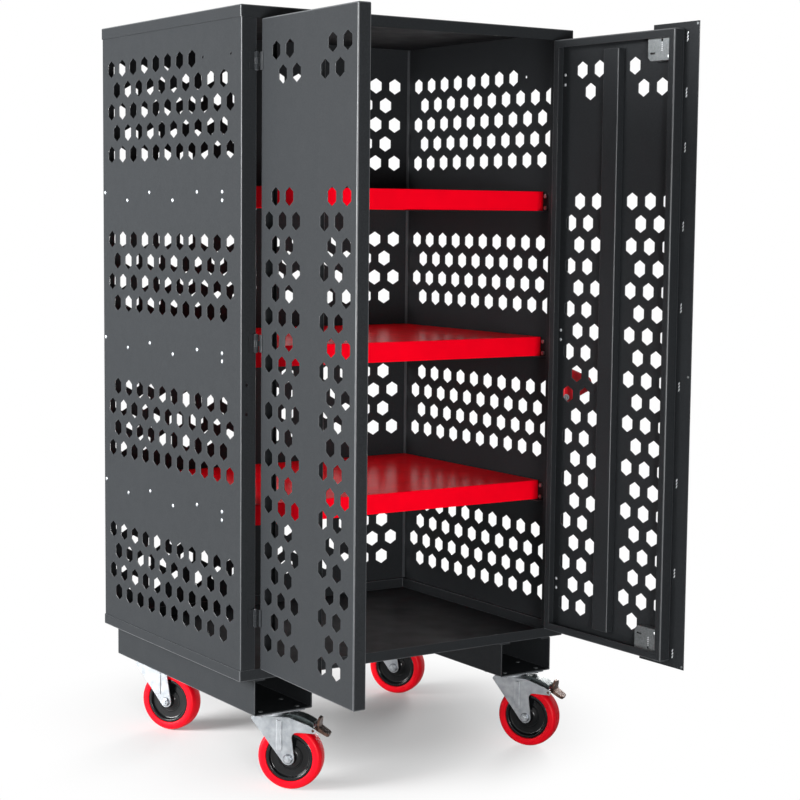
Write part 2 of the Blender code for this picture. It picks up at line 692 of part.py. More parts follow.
plate = place("plate", box((-PLATE_LENGTH / 2, -PLATE_BREADTH / 2, CASTER_HEIGHT - PLATE_THICKNESS),
                           (PLATE_LENGTH / 2, PLATE_BREADTH / 2, CASTER_HEIGHT)))
race = rod(RACE_RADIUS, CROWN_TOP + RUNNING_GAP, CASTER_HEIGHT - PLATE_THICKNESS / 2, RACE_SIDES)
boolean(plate, as_cutter("race", race), "UNION")
pin_low = crown_low - RUNNING_GAP - KINGPIN_HEAD_HEIGHT
pin_high = CASTER_HEIGHT - PLATE_THICKNESS / 2
kingpin = rod(KINGPIN_RADIUS, pin_low + KINGPIN_HEAD_HEIGHT / 2, pin_high, TURNED_STEPS // 2)
boolean(plate, as_cutter("kingpin", kingpin), "UNION")
head = rod(KINGPIN_HEAD, pin_low, pin_low + KINGPIN_HEAD_HEIGHT, 6)
boolean(plate, as_cutter("kingpin_head", head), "UNION")
plate_mesh = baked(plate)


def fork_outline(braked):
    """Side view of a fork, from its crown down to the axle."""
    top = CROWN_TOP - AXLE_Z
    points = arc((0, 0), FORK_END_RADIUS, 218, 358, 6)
    if braked:
        points += arc((LEG_BACK + ARM_FILLET, ARM_LOW - ARM_FILLET), ARM_FILLET, 180, 90, 4)
        points.append((ARM_REACH - 0.004, ARM_LOW))
        points.append((ARM_REACH, ARM_LOW + ARM_TIP))
        points += [(ARM_REACH * 0.72, top - (top - ARM_LOW - ARM_TIP) * 0.62),
                   (ARM_REACH * 0.40, top - (top - ARM_LOW - ARM_TIP) * 0.36)]
    points.append((FORK_BACK - TRAIL, top))
    points.append((-TRAIL - FORK_FRONT + 0.006, top))
    points.append((-TRAIL - FORK_FRONT, top - 0.008))
    return [(TRAIL + u, AXLE_Z + v) for u, v in points]


fork_meshes = {}
for braked in (True, False):
    fork = place("fork", outline(fork_outline(braked), FORK_OUTER, along_y(-FORK_OUTER / 2, FORK_OUTER / 2)))
    well = box((-TRAIL - FORK_FRONT - WHEEL_RADIUS, -FORK_INNER / 2, -AXLE_Z),
               (TRAIL + ARM_REACH + WHEEL_RADIUS, FORK_INNER / 2, crown_low))
    boolean(fork, as_cutter("well", well), "DIFFERENCE")
    eye = rod(KINGPIN_RADIUS + RUNNING_GAP, crown_low - FORK_SHEET, CROWN_TOP + FORK_SHEET, TURNED_STEPS // 2)
    boolean(fork, as_cutter("eye", eye), "DIFFERENCE")
    axle = rod(AXLE_RADIUS, -FORK_OUTER / 2, FORK_OUTER / 2, TURNED_STEPS // 2, (TRAIL, AXLE_Z), "Y")
    boolean(fork, as_cutter("axle", axle), "UNION")
    for end in (-1, 1):
        inner = end * (FORK_OUTER / 2 - FORK_SHEET / 2)
        outer = end * (FORK_OUTER / 2 + AXLE_HEAD_HEIGHT)
        head = rod(AXLE_HEAD_RADIUS, min(inner, outer), max(inner, outer), 6, (TRAIL, AXLE_Z), "Y")
        boolean(fork, as_cutter("axle_head", head), "UNION")
    if braked:
        room = PEDAL_PIN_RADIUS + RUNNING_GAP
        pivot = rod(room, -FORK_OUTER, FORK_OUTER, 8, (pedal_x, pedal_z), "Y")
        boolean(fork, as_cutter("pedal_pivot", pivot), "DIFFERENCE")
    fork_meshes[braked] = baked(fork)

# Tyre and hub, turned about the axle
tyre_in = WHEEL_RADIUS - TYRE_DEPTH
half = WHEEL_WIDTH / 2
tyre_profile = [
    (tyre_in, half - TYRE_CROWN),
    (tyre_in, -half + TYRE_CROWN),
    (WHEEL_RADIUS - TYRE_SHOULDER, -half),
    (WHEEL_RADIUS - TYRE_CROWN, -half + TYRE_CROWN * 1.5),
    (WHEEL_RADIUS, -half + TYRE_SHOULDER * 2),
    (WHEEL_RADIUS, half - TYRE_SHOULDER * 2),
    (WHEEL_RADIUS - TYRE_CROWN, half - TYRE_CROWN * 1.5),
    (WHEEL_RADIUS - TYRE_SHOULDER, half),
]
tyre_mesh = turned(tyre_profile, "tyre")
hub_out = tyre_in - SEAT_GAP
hub_half = HUB_LENGTH / 2
rim_half = half - TYRE_CROWN
bore = AXLE_RADIUS + RUNNING_GAP
hub_profile = [
    (bore, hub_half),
    (bore, -hub_half),
    (HUB_BOSS_RADIUS - 0.003, -hub_half),
    (HUB_BOSS_RADIUS, -rim_half + HUB_DISH),
    (hub_out - HUB_RIM, -rim_half + HUB_DISH),
    (hub_out, -rim_half),
    (hub_out, rim_half),
    (hub_out - HUB_RIM, rim_half - HUB_DISH),
    (HUB_BOSS_RADIUS, rim_half - HUB_DISH),
    (HUB_BOSS_RADIUS - 0.003, hub_half),
]
hub_mesh = turned(hub_profile, "hub")

# Brake plate: a bent strip over the wheel, from the crown to the pedal
plate_start = FORK_BACK - 0.008
plate_seat = CROWN_TOP + RUNNING_GAP
plate_end = (pedal_x - 0.002, pedal_z + 0.012)
bend = (FORK_BACK + 0.002, plate_seat)
upper_edge = [(plate_start, plate_seat + BRAKE_PLATE_THICKNESS), (bend[0], bend[1] + BRAKE_PLATE_THICKNESS)]
lower_edge = [(plate_start, plate_seat), (bend[0], bend[1])]
for i in range(1, 6):
    t = i / 5
    x = bend[0] + (plate_end[0] - bend[0]) * t
    z = bend[1] + (plate_end[1] - bend[1]) * t * t
    upper_edge.append((x, z + BRAKE_PLATE_THICKNESS))
    lower_edge.append((x, z))
brake_plate_mesh = outline(upper_edge + lower_edge[::-1], BRAKE_PLATE_WIDTH,
                           along_y(-BRAKE_PLATE_WIDTH / 2, BRAKE_PLATE_WIDTH / 2))

# Pedal: two lobes on a cross pin between the fork arms
lobe = PEDAL_THICKNESS
pedal_shape = [
    (-lobe / 2, lobe / 2),
    (lobe * 1.2, lobe * 1.1),
    (lobe * 1.8, PEDAL_UP),
    (lobe * 2.9, PEDAL_UP - lobe * 0.6),
    (lobe * 2.2, lobe * 0.9),
    (PEDAL_OUT, -lobe * 2.6),
    (PEDAL_OUT - lobe * 0.6, -lobe * 3.8),
    (lobe, -lobe * 0.7),
    (-lobe / 2, -lobe / 2),
]
pedal = place("pedal", outline(pedal_shape, PEDAL_WIDTH, along_y(-PEDAL_WIDTH / 2, PEDAL_WIDTH / 2)))
pin_reach = FORK_OUTER / 2
cross_pin = rod(PEDAL_PIN_RADIUS, -pin_reach, pin_reach, 8, (0, 0), "Y")
boolean(pedal, as_cutter("cross_pin", cross_pin), "UNION")
pedal_mesh = baked(pedal)

caster_x = (channel_out + channel_in) / 2
for end, y in (("front", FRONT + CASTER_FROM_END), ("rear", BACK - CASTER_FROM_END)):
    braked = end == "front"
    for side, name in ((-1, "left"), (1, "right")):
        title = end + "_" + name + "_caster_"
        swivel = bpy.data.objects.new(title + "axis", None)
        cabinet.objects.link(swivel)
        swivel.location = (side * caster_x, y, 0)
        swivel.rotation_euler = (0, 0, math.radians(CASTER_YAWS[end + "_" + name]))
        place(title + "plate", plate_mesh.copy(), ZINC, None, (side * caster_x, y, 0))
        place(title + "fork", fork_meshes[braked].copy(), ZINC, swivel)
        place(title + "hub", hub_mesh.copy(), HUB_BLACK, swivel, (TRAIL, 0, AXLE_Z))
        place(title + "tyre", tyre_mesh.copy(), TYRE_RED, swivel, (TRAIL, 0, AXLE_Z))
        if braked:
            place(title + "brake_plate", brake_plate_mesh.copy(), BRAKE_DARK, swivel)
            place(title + "brake_pedal", pedal_mesh.copy(), BRAKE_BRONZE, swivel, (pedal_x, 0, pedal_z))

for piece in cabinet.objects:
    if piece.type == "MESH":
        piece.data.shade_smooth()
        piece.data.set_sharp_from_angle(angle=math.radians(35))
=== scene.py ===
import json
import math

import bpy
from mathutils import Matrix, Vector


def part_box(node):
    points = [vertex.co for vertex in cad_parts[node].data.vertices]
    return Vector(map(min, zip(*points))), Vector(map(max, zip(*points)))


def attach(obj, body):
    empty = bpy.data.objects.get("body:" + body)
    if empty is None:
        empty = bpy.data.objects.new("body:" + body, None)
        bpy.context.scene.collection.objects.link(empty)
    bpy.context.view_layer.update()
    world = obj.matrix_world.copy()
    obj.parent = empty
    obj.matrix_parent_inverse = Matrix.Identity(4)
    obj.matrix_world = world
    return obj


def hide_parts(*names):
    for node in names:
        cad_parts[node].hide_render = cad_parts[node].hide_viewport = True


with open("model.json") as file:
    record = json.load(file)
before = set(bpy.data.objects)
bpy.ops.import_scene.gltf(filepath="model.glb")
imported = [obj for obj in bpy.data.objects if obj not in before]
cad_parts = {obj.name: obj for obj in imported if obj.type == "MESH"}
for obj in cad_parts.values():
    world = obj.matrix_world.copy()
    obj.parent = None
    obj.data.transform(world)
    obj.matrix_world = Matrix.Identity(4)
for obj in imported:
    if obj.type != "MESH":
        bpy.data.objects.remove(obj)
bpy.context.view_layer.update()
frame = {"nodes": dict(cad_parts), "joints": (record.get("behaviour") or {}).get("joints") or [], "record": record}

nodes = frame["nodes"]
record = frame["record"]
joints = {joint["name"]: joint for joint in frame["joints"]}
slot_of = {part["node"]: part["material_slot"] for part in record["subparts"]}
body_of = {
    node: body
    for body, members in record["behaviour"]["bodies"].items()
    for node in members
}

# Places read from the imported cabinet
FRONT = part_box("top_tray")[0].y
BASE_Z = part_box("base_tray")[0].z

# Sides, levels and directions
SIDES = ((-1, "left"), (1, "right"))
LEVELS = ("lower", "middle", "upper")
UP = (0, 0, 1)
DOWN = (0, 0, -1)
TO_FRONT = (0, -1, 0)
TO_BACK = (0, 1, 0)
TO_RIGHT = (1, 0, 0)
QUARTER_TURN = math.pi / 2

# How far doubles are merged, which faces count as one flat face, how near is the same place, and
# how far a tool runs past a piece
MERGE_WITHIN = 0.00002
FLAT_WITHIN = math.radians(0.4)
NEAR = 0.0002
TOOL_EXCESS = 0.01

# The block that rounds the folds: how far it stands off the flat faces, and how many radii it runs
# past an end of the sheet
FOLD_SKIN = 0.00002
FOLD_EXCESS = 3

# Angles up to which faces shade as one round surface
ROUND_ANGLE = 40.0
BEAD_ANGLE = 60.0

# Doors: how far they stand open, their sheet, and what turns a closed door to its open place
DOOR_OPEN = math.radians(92.0)
DOOR_SHEET = 0.002
door_swings = {}
for side, name in SIDES:
    hinge = Vector(joints[name + "_door_hinge"]["pos_m"])
    turn = Matrix.Rotation(side * DOOR_OPEN, 4, "Z")
    door_swings[name] = Matrix.Translation(hinge) @ turn @ Matrix.Translation(-hinge)


# Handling of pieces


def pick(*objects):
    """Deselect everything, then select these, the first one active."""
    bpy.ops.object.select_all(action="DESELECT")
    for obj in objects:
        obj.select_set(True)
    bpy.context.view_layer.objects.active = objects[0]


def in_edit(obj, *steps):
    """Run steps on a piece's whole mesh in edit mode."""
    pick(obj)
    bpy.ops.object.mode_set(mode="EDIT")
    bpy.ops.mesh.select_all(action="SELECT")
    for step in steps:
        step()
    bpy.ops.object.mode_set(mode="OBJECT")


def on_chosen(obj, kind, chosen, step):
    """Run one step on the edges or faces that a test picks."""
    in_edit(
        obj,
        lambda: bpy.ops.mesh.select_mode(type=kind),
        lambda: bpy.ops.mesh.select_all(action="DESELECT"),
    )
    for element in obj.data.edges if kind == "EDGE" else obj.data.polygons:
        element.select = chosen(element)
    pick(obj)
    bpy.ops.object.mode_set(mode="EDIT")
    step()
    bpy.ops.mesh.select_mode(type="VERT")
    bpy.ops.object.mode_set(mode="OBJECT")


def edge_ends(obj, edge):
    return [obj.data.vertices[index].co for index in edge.vertices]


def near(value, target):
    return abs(value - target) < NEAR


def apply_modifiers(obj):
    pick(obj)
    for modifier in list(obj.modifiers):
        bpy.ops.object.modifier_apply(modifier=modifier.name)


def settle(obj):
    """Put an object's place into its mesh."""
    pick(obj)
    bpy.ops.object.transform_apply(location=True, rotation=True, scale=True)
    return obj


def joined(parts, name):
    """Join pieces into one object."""
    pick(*parts)
    if len(parts) > 1:
        bpy.ops.object.join()
    piece = bpy.context.view_layer.objects.active
    piece.name = name
    return piece


def copied(obj, name, matrix):
    """A copy with its own mesh, moved by a matrix."""
    piece = bpy.data.objects.new(name, obj.data.copy())
    bpy.context.scene.collection.objects.link(piece)
    piece.data.transform(matrix)
    return piece


def set_out(pattern, name, places, axis=UP):
    """Copies of a pattern that stands at the origin along Z: one on each place, along an axis."""
    turn = Vector(UP).rotation_difference(Vector(axis)).to_matrix().to_4x4()
    copies = [copied(pattern, name, Matrix.Translation(place) @ turn) for place in places]
    bpy.data.objects.remove(pattern, do_unlink=True)
    return joined(copies, name)


def merged_copy(node, name):
    """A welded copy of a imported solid, ready to be shaped further."""
    piece = bpy.data.objects.new(name, nodes[node].data.copy())
    bpy.context.scene.collection.objects.link(piece)
    pick(piece)
    bpy.ops.mesh.customdata_custom_splitnormals_clear()
    in_edit(
        piece,
        lambda: bpy.ops.mesh.remove_doubles(threshold=MERGE_WITHIN),
        lambda: bpy.ops.mesh.dissolve_limited(angle_limit=FLAT_WITHIN),
    )
    return piece


def cut(obj, *tools, operation="DIFFERENCE"):
    """Cut tools out of a piece, or keep only what lies inside them."""
    tool = joined(list(tools), "cutting_tool")
    boolean = obj.modifiers.new("Cut", "BOOLEAN")
    boolean.operation = operation
    boolean.solver = "MANIFOLD"
    boolean.object = tool
    apply_modifiers(obj)
    bpy.data.objects.remove(tool, do_unlink=True)
    return obj


def soften(obj, width, segments=2, angle=28.0):
    """Round the sharp edges; the rounded faces take the second material, a lighter copy on grey coat and zinc that
    is a painted highlight.
    """
    bevel = obj.modifiers.new("Rounded edges", "BEVEL")
    bevel.width = width
    bevel.segments = segments
    bevel.limit_method = "ANGLE"
    bevel.angle_limit = math.radians(angle)
    bevel.material = 1
    apply_modifiers(obj)
    return obj


def smooth(obj, angle=35.0):
    """Shade round faces smooth and keep flat faces flat."""
    pick(obj)
    bpy.ops.object.shade_smooth_by_angle(angle=math.radians(angle))
    weighted = obj.modifiers.new("Flat faces stay flat", "WEIGHTED_NORMAL")
    weighted.keep_sharp = True
    weighted.weight = 100
    apply_modifiers(obj)
    return obj


def round_folds(obj, radius, sheet_ends):
    """Round the outer folds of bent sheet: keep what lies inside a block with rounded edges.

    The block runs past the sides where the sheet only ends, and its rounded faces bring the
    second material, the lighter grey that is a painted highlight along the folds.
    """
    corners = [vertex.co for vertex in obj.data.vertices]
    low = Vector([min(corner[axis] for corner in corners) - FOLD_SKIN for axis in range(3)])
    high = Vector([max(corner[axis] for corner in corners) + FOLD_SKIN for axis in range(3)])
    for end in sheet_ends:
        axis = "xyz".index(end[1])
        if end[0] == "-":
            low[axis] -= FOLD_EXCESS * radius
        else:
            high[axis] += FOLD_EXCESS * radius
    form = coat(block("fold_form", low, high), "powder_grey")
    return cut(obj, soften(form, radius, segments=5), operation="INTERSECT")


# Stock shapes


def block(name, low, high):
    """A bar or plate between two corners."""
    low = Vector(low)
    high = Vector(high)
    bpy.ops.mesh.primitive_cube_add(size=1.0, location=(low + high) / 2)
    piece = bpy.context.active_object
    piece.name = name
    piece.scale = high - low
    return settle(piece)


def stud(name, radius, height, sides, foot=0.0):
    """A round or hexagonal stub along Z."""
    bpy.ops.mesh.primitive_cylinder_add(vertices=sides, radius=radius, depth=height,
                                        location=(0, 0, foot + height / 2))
    piece = bpy.context.active_object
    piece.name = name
    return settle(piece)


def half_ball(name, segments, rings):
    """Half a ball of radius one, cut flat underneath."""
    bpy.ops.mesh.primitive_uv_sphere_add(segments=segments, ring_count=rings, radius=1.0)
    piece = bpy.context.active_object
    piece.name = name
    in_edit(piece, lambda: bpy.ops.mesh.bisect(plane_co=(0, 0, 0), plane_no=UP, use_fill=True,
                                               clear_inner=True))
    return piece


def dome(name, radius, height):
    """A low rounded head along Z: a flattened half ball."""
    piece = half_ball(name, segments=20, rings=12)
    piece.scale = (radius, radius, height)
    return smooth(settle(piece), ROUND_ANGLE)


def turned(name, profile, steps):
    """Spin a closed profile of (radius, distance along the axle) about the Y axis."""
    bpy.ops.mesh.primitive_circle_add(vertices=len(profile), radius=1.0)
    piece = bpy.context.active_object
    piece.name = name
    for vertex, (radius, along) in zip(piece.data.vertices, profile):
        vertex.co = (radius, along, 0.0)
    in_edit(
        piece,
        lambda: bpy.ops.mesh.spin(steps=steps, angle=math.tau, center=(0, 0, 0), axis=(0, 1, 0)),
        lambda: bpy.ops.mesh.select_all(action="SELECT"),
        lambda: bpy.ops.mesh.remove_doubles(threshold=MERGE_WITHIN),
        lambda: bpy.ops.mesh.normals_make_consistent(inside=False),
    )
    return smooth(piece, ROUND_ANGLE)


# Materials


def new_finish(name, colour, roughness, metallic=0.0, specular=0.5):
    material = bpy.data.materials.new(name)
    material.use_nodes = True
    shader = material.node_tree.nodes["Principled BSDF"]
    shader.inputs["Base Color"].default_value = (*colour, 1.0)
    shader.inputs["Roughness"].default_value = roughness
    shader.inputs["Metallic"].default_value = metallic
    shader.inputs["Specular IOR Level"].default_value = specular
    return material, material.node_tree, shader


def grain(tree, scale, detail=2.0, stretch=(1.0, 1.0, 1.0)):
    """Noise on the piece's own coordinates."""
    place = tree.nodes.new("ShaderNodeTexCoord")
    mapping = tree.nodes.new("ShaderNodeMapping")
    mapping.inputs["Scale"].default_value = stretch
    noise = tree.nodes.new("ShaderNodeTexNoise")
    noise.inputs["Scale"].default_value = scale
    noise.inputs["Detail"].default_value = detail
    tree.links.new(place.outputs["Object"], mapping.inputs["Vector"])
    tree.links.new(mapping.outputs["Vector"], noise.inputs["Vector"])
    return noise.outputs["Fac"]


def spangle(tree, scale):
    """Crystal patches, as on galvanised sheet."""
    place = tree.nodes.new("ShaderNodeTexCoord")
    cells = tree.nodes.new("ShaderNodeTexVoronoi")
    cells.inputs["Scale"].default_value = scale
    tree.links.new(place.outputs["Object"], cells.inputs["Vector"])
    single = tree.nodes.new("ShaderNodeSeparateColor")
    tree.links.new(cells.outputs["Color"], single.inputs["Color"])
    return single.outputs["Red"]


def ranged(tree, value, low, high, start=0.3, end=0.7):
    """Map a texture's value onto a range."""
    span = tree.nodes.new("ShaderNodeMapRange")
    span.inputs["From Min"].default_value = start
    span.inputs["From Max"].default_value = end
    span.inputs["To Min"].default_value = low
    span.inputs["To Max"].default_value = high
    tree.links.new(value, span.inputs["Value"])
    return span.outputs["Result"]


def shade_between(tree, shader, value, dark, light, start=0.3, end=0.7):
    """Let the colour wander between two shades."""
    mix = tree.nodes.new("ShaderNodeMix")
    mix.data_type = "RGBA"
    mix.inputs["A"].default_value = (*dark, 1.0)
    mix.inputs["B"].default_value = (*light, 1.0)
    tree.links.new(ranged(tree, value, 0.0, 1.0, start, end), mix.inputs["Factor"])
    tree.links.new(mix.outputs["Result"], shader.inputs["Base Color"])


def uneven_sheen(tree, shader, value, low, high, start=0.3, end=0.7):
    """Let the roughness wander between two values."""
    tree.links.new(ranged(tree, value, low, high, start, end), shader.inputs["Roughness"])


def raised(tree, shader, value, strength, distance):
    """Use a texture as fine relief."""
    bump = tree.nodes.new("ShaderNodeBump")
    bump.inputs["Strength"].default_value = strength
    bump.inputs["Distance"].default_value = distance
    tree.links.new(value, bump.inputs["Height"])
    tree.links.new(bump.outputs["Normal"], shader.inputs["Normal"])


def scaled(colour, factor):
    return tuple(channel * factor for channel in colour)


def powder_coat(name, colour, roughness, relief, specular=0.05):
    """Fine-texture powder coat: pebbled, a little uneven in tone and sheen."""
    material, tree, shader = new_finish(name, colour, roughness, specular=specular)
    tone = grain(tree, scale=260.0, detail=4.0)
    shade_between(tree, shader, tone, scaled(colour, 0.86), scaled(colour, 1.14))
    uneven_sheen(tree, shader, grain(tree, scale=14.0), roughness - 0.05, roughness + 0.06)
    raised(tree, shader, grain(tree, scale=780.0, detail=3.0), relief, distance=0.00035)
    return material


def gloss_paint(name, colour, roughness):
    """Smooth glossy coat with slight orange peel."""
    material, tree, shader = new_finish(name, colour, roughness, specular=0.03)
    tone = grain(tree, scale=9.0)
    shade_between(tree, shader, tone, scaled(colour, 0.93), scaled(colour, 1.05))
    uneven_sheen(tree, shader, grain(tree, scale=30.0), roughness - 0.04, roughness + 0.05)
    raised(tree, shader, grain(tree, scale=320.0), strength=0.10, distance=0.00025)
    return material


def plated(name, dark, light, roughness, scale, relief=0.12, metallic=1.0):
    """Zinc plate: bright, mottled and faintly brushed."""
    material, tree, shader = new_finish(name, light, roughness, metallic=metallic)
    shade_between(tree, shader, grain(tree, scale, detail=4.0), dark, light)
    brushed = grain(tree, scale=420.0, stretch=(1.0, 1.0, 0.08))
    uneven_sheen(tree, shader, brushed, roughness - 0.07, roughness + 0.08)
    raised(tree, shader, grain(tree, scale=600.0), relief, distance=0.00012)
    return material


def galvanised(name, dark, light, roughness):
    """Galvanised sheet: crystal patches in tone and sheen."""
    material, tree, shader = new_finish(name, light, roughness, metallic=0.85)
    shade_between(tree, shader, spangle(tree, scale=420.0), dark, light, 0.0, 1.0)
    sheen = spangle(tree, scale=300.0)
    uneven_sheen(tree, shader, sheen, roughness - 0.08, roughness + 0.12, 0.0, 1.0)
    raised(tree, shader, grain(tree, scale=900.0), strength=0.15, distance=0.00015)
    return material


def moulded(name, colour, roughness, relief, scale, specular=0.5):
    """Moulded plastic or polyurethane with a fine skin."""
    material, tree, shader = new_finish(name, colour, roughness, specular=specular)
    tone = grain(tree, scale=24.0)
    shade_between(tree, shader, tone, scaled(colour, 0.9), scaled(colour, 1.08))
    uneven_sheen(tree, shader, grain(tree, scale=60.0), roughness - 0.05, roughness + 0.07)
    raised(tree, shader, grain(tree, scale), relief, distance=0.0002)
    return material


GREY = (0.0192, 0.0210, 0.0229)
RED = (0.96, 0.0006, 0.0125)
grey_coat = powder_coat("grey_powder_coat", GREY, roughness=0.50, relief=0.30)
# A lighter copy of the grey coat for rounded folds and edges: a painted highlight
grey_painted_highlight = powder_coat("grey_coat_painted_fold_highlight", scaled(GREY, 2.2), roughness=0.36, relief=0.10,
                        specular=0.50)
shelf_coat = gloss_paint("red_shelf_coat", RED, roughness=0.22)
shelf_edge = gloss_paint("red_coat_on_folds", RED, roughness=0.22)
zinc = plated("bright_zinc_plate", dark=(0.28, 0.30, 0.32), light=(0.41, 0.43, 0.45),
              roughness=0.42, scale=55.0, metallic=0.94)
# A lighter copy of the zinc for rounded edges: a painted highlight
zinc_painted_highlight = plated("zinc_painted_edge_highlight", dark=(0.40, 0.42, 0.44), light=(0.56, 0.58, 0.60),
                   roughness=0.30, scale=55.0, metallic=0.94)
dark_zinc = plated("dark_zinc_washers", dark=(0.10, 0.11, 0.12), light=(0.22, 0.23, 0.25),
                   roughness=0.34, scale=120.0)
lock_zinc = galvanised("mottled_lock_zinc", dark=(0.105, 0.114, 0.118),
                       light=(0.165, 0.176, 0.180), roughness=0.46)
# Near black for the cut faces of the lock's key slot and peg hole: painted shade
slot_painted_shade = moulded("painted_shade_in_slot", (0.006, 0.006, 0.007), roughness=0.6, relief=0.05, scale=300.0)
weld_metal = plated("bare_weld_metal", dark=(0.62, 0.65, 0.68), light=(0.90, 0.92, 0.94),
                    roughness=0.34, scale=200.0, relief=0.4, metallic=0.30)
rivet_metal = plated("bright_rivet_heads", dark=(0.62, 0.65, 0.68), light=(0.84, 0.86, 0.88),
                     roughness=0.30, scale=200.0, metallic=0.40)
tyre_skin = moulded("red_tyre_skin", (0.62, 0.0012, 0.009), roughness=0.40, relief=0.12,
                    scale=520.0, specular=0.12)
hub_nylon = moulded("black_hub_nylon", (0.004, 0.0045, 0.005), roughness=0.16, relief=0.05,
                    scale=300.0, specular=0.30)
brake_steel = plated("dark_brake_steel", dark=(0.050, 0.062, 0.064), light=(0.11, 0.13, 0.13),
                     roughness=0.38, scale=90.0)
brake_bronze = plated("bronze_brake_steel", dark=(0.06, 0.035, 0.028), light=(0.22, 0.14, 0.11),
                      roughness=0.30, scale=90.0)
grip_plastic = moulded("red_grip_plastic", (0.70, 0.003, 0.012), roughness=0.34, relief=0.10,
                       scale=420.0, specular=0.25)

# The finishes of each slot: faces, then rounded edges. The lighter edge copies of grey coat and zinc are painted
# highlights.
FINISHES = {
    "powder_grey": (grey_coat, grey_painted_highlight),
    "shelf_red": (shelf_coat, shelf_edge),
    "zinc": (zinc, zinc_painted_highlight),
    "lock_zinc": (lock_zinc, lock_zinc),
    "tyre_red": (tyre_skin, tyre_skin),
    "hub_black": (hub_nylon, hub_nylon),
    "brake_dark": (brake_steel, brake_steel),
    "brake_bronze": (brake_bronze, brake_bronze),
    "grip_red": (grip_plastic, grip_plastic),
}


def paint(piece, *materials):
    """Give a piece its own materials."""
    piece.data.materials.clear()
    for material in materials:
        piece.data.materials.append(material)
    return piece


def coat(piece, slot):
    """Give a piece the finishes of its slot."""
    return paint(piece, *FINISHES[slot])


def mount(piece, body, slot, *stands_for):
    """Let a finished piece ride on its body."""
    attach(piece, body)
    if stands_for:
        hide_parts(*stands_for)
    return piece


# Side walls and back panel: sheets punched with rows of hexagons, in bands of (first row, rows).
# The back has two groups; its even and odd rows are (outermost hole, holes).
HEX_RADIUS = 0.0225
HEX_PITCH = 0.0664
HEX_ROW = 0.0564
HEX_FIRST_ROW = 0.1044
WALL_BANDS = ((0, 4), (7, 4), (14, 4), (21, 5))
LAST_ROW = WALL_BANDS[-1][0] + WALL_BANDS[-1][1] - 1
SIDE_COLUMNS = 11
TOP_ROW_LEFT_OUT = 3
BACK_ROWS = ((0.4135, 6), (0.4460, 7))
SMALL_HOLE_RADIUS = 0.0036
SMALL_HOLE_DEPTHS = (0.197, 0.054)
PUNCH_LENGTH = 0.02
PUNCHED_EDGE = 0.0005


def row_height(row):
    return BASE_Z + HEX_FIRST_ROW + row * HEX_ROW


def wall_rows():
    for first, count in WALL_BANDS:
        yield from range(first, first + count)


def hexagon_row(first, step, count, turn):
    """One row of hexagon tools, points up."""
    bpy.ops.mesh.primitive_cylinder_add(vertices=6, radius=HEX_RADIUS, depth=PUNCH_LENGTH,
                                        location=first, rotation=turn)
    row = settle(bpy.context.active_object)
    array = row.modifiers.new("Row", "ARRAY")
    array.use_relative_offset = False
    array.use_constant_offset = True
    array.constant_offset_displace = step
    array.count = count
    apply_modifiers(row)
    return row


for _, name in SIDES:
    node = name + "_side_panel"
    low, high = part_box(node)
    wall = coat(block(name + "_punched_wall", low, high), "powder_grey")
    middle = (low.x + high.x) / 2
    tools = []
    for row in wall_rows():
        columns = SIDE_COLUMNS - 1 + row % 2
        skipped = TOP_ROW_LEFT_OUT if row == LAST_ROW else 0
        first = (skipped - (columns - 1) / 2) * HEX_PITCH
        tools.append(hexagon_row((middle, first, row_height(row)), (0, HEX_PITCH, 0),
                                 columns - skipped, (QUARTER_TURN, 0, QUARTER_TURN)))
    places = [(middle - PUNCH_LENGTH / 2, FRONT + depth, row_height(LAST_ROW))
              for depth in SMALL_HOLE_DEPTHS]
    small_hole = stud("small_hole", SMALL_HOLE_RADIUS, PUNCH_LENGTH, sides=20)
    tools.append(set_out(small_hole, "small_holes", places, TO_RIGHT))
    cut(wall, *tools)
    smooth(soften(wall, PUNCHED_EDGE, segments=1))
    mount(wall, "cabinet", "powder_grey", node)

back_low, back_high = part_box("back_panel")
back = coat(block("punched_back", back_low, back_high), "powder_grey")
middle = (back_low.y + back_high.y) / 2
tools = []
for row in wall_rows():
    outermost, columns = BACK_ROWS[row % 2]
    for side, _ in SIDES:
        tools.append(hexagon_row((side * outermost, middle, row_height(row)),
                                 (-side * HEX_PITCH, 0, 0), columns, (QUARTER_TURN, 0, 0)))
cut(back, *tools)
smooth(soften(back, PUNCHED_EDGE, segments=1))
mount(back, "cabinet", "powder_grey", "back_panel")

# Foot rim along the walls and the back
SEAT = 0.0004
RIM_HEIGHT = 0.028
RIM_WIDTH = 0.010
RIM_FRONT = FRONT + 0.042
RIM_EDGE = 0.0014
wall_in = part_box("right_side_panel")[0].x - SEAT
back_face = back_low.y - SEAT
floor_top = back_low.z + SEAT
rim_top = floor_top + RIM_HEIGHT
rim = block("base_foot_rim", (-wall_in, RIM_FRONT, floor_top), (wall_in, back_face, rim_top))
coat(rim, "powder_grey")
cut(rim, block("rim_inside", (RIM_WIDTH - wall_in, FRONT, BASE_Z - TOOL_EXCESS),
               (wall_in - RIM_WIDTH, back_face - RIM_WIDTH, rim_top + RIM_HEIGHT)))
smooth(soften(rim, RIM_EDGE, segments=3))
mount(rim, "cabinet", "powder_grey")

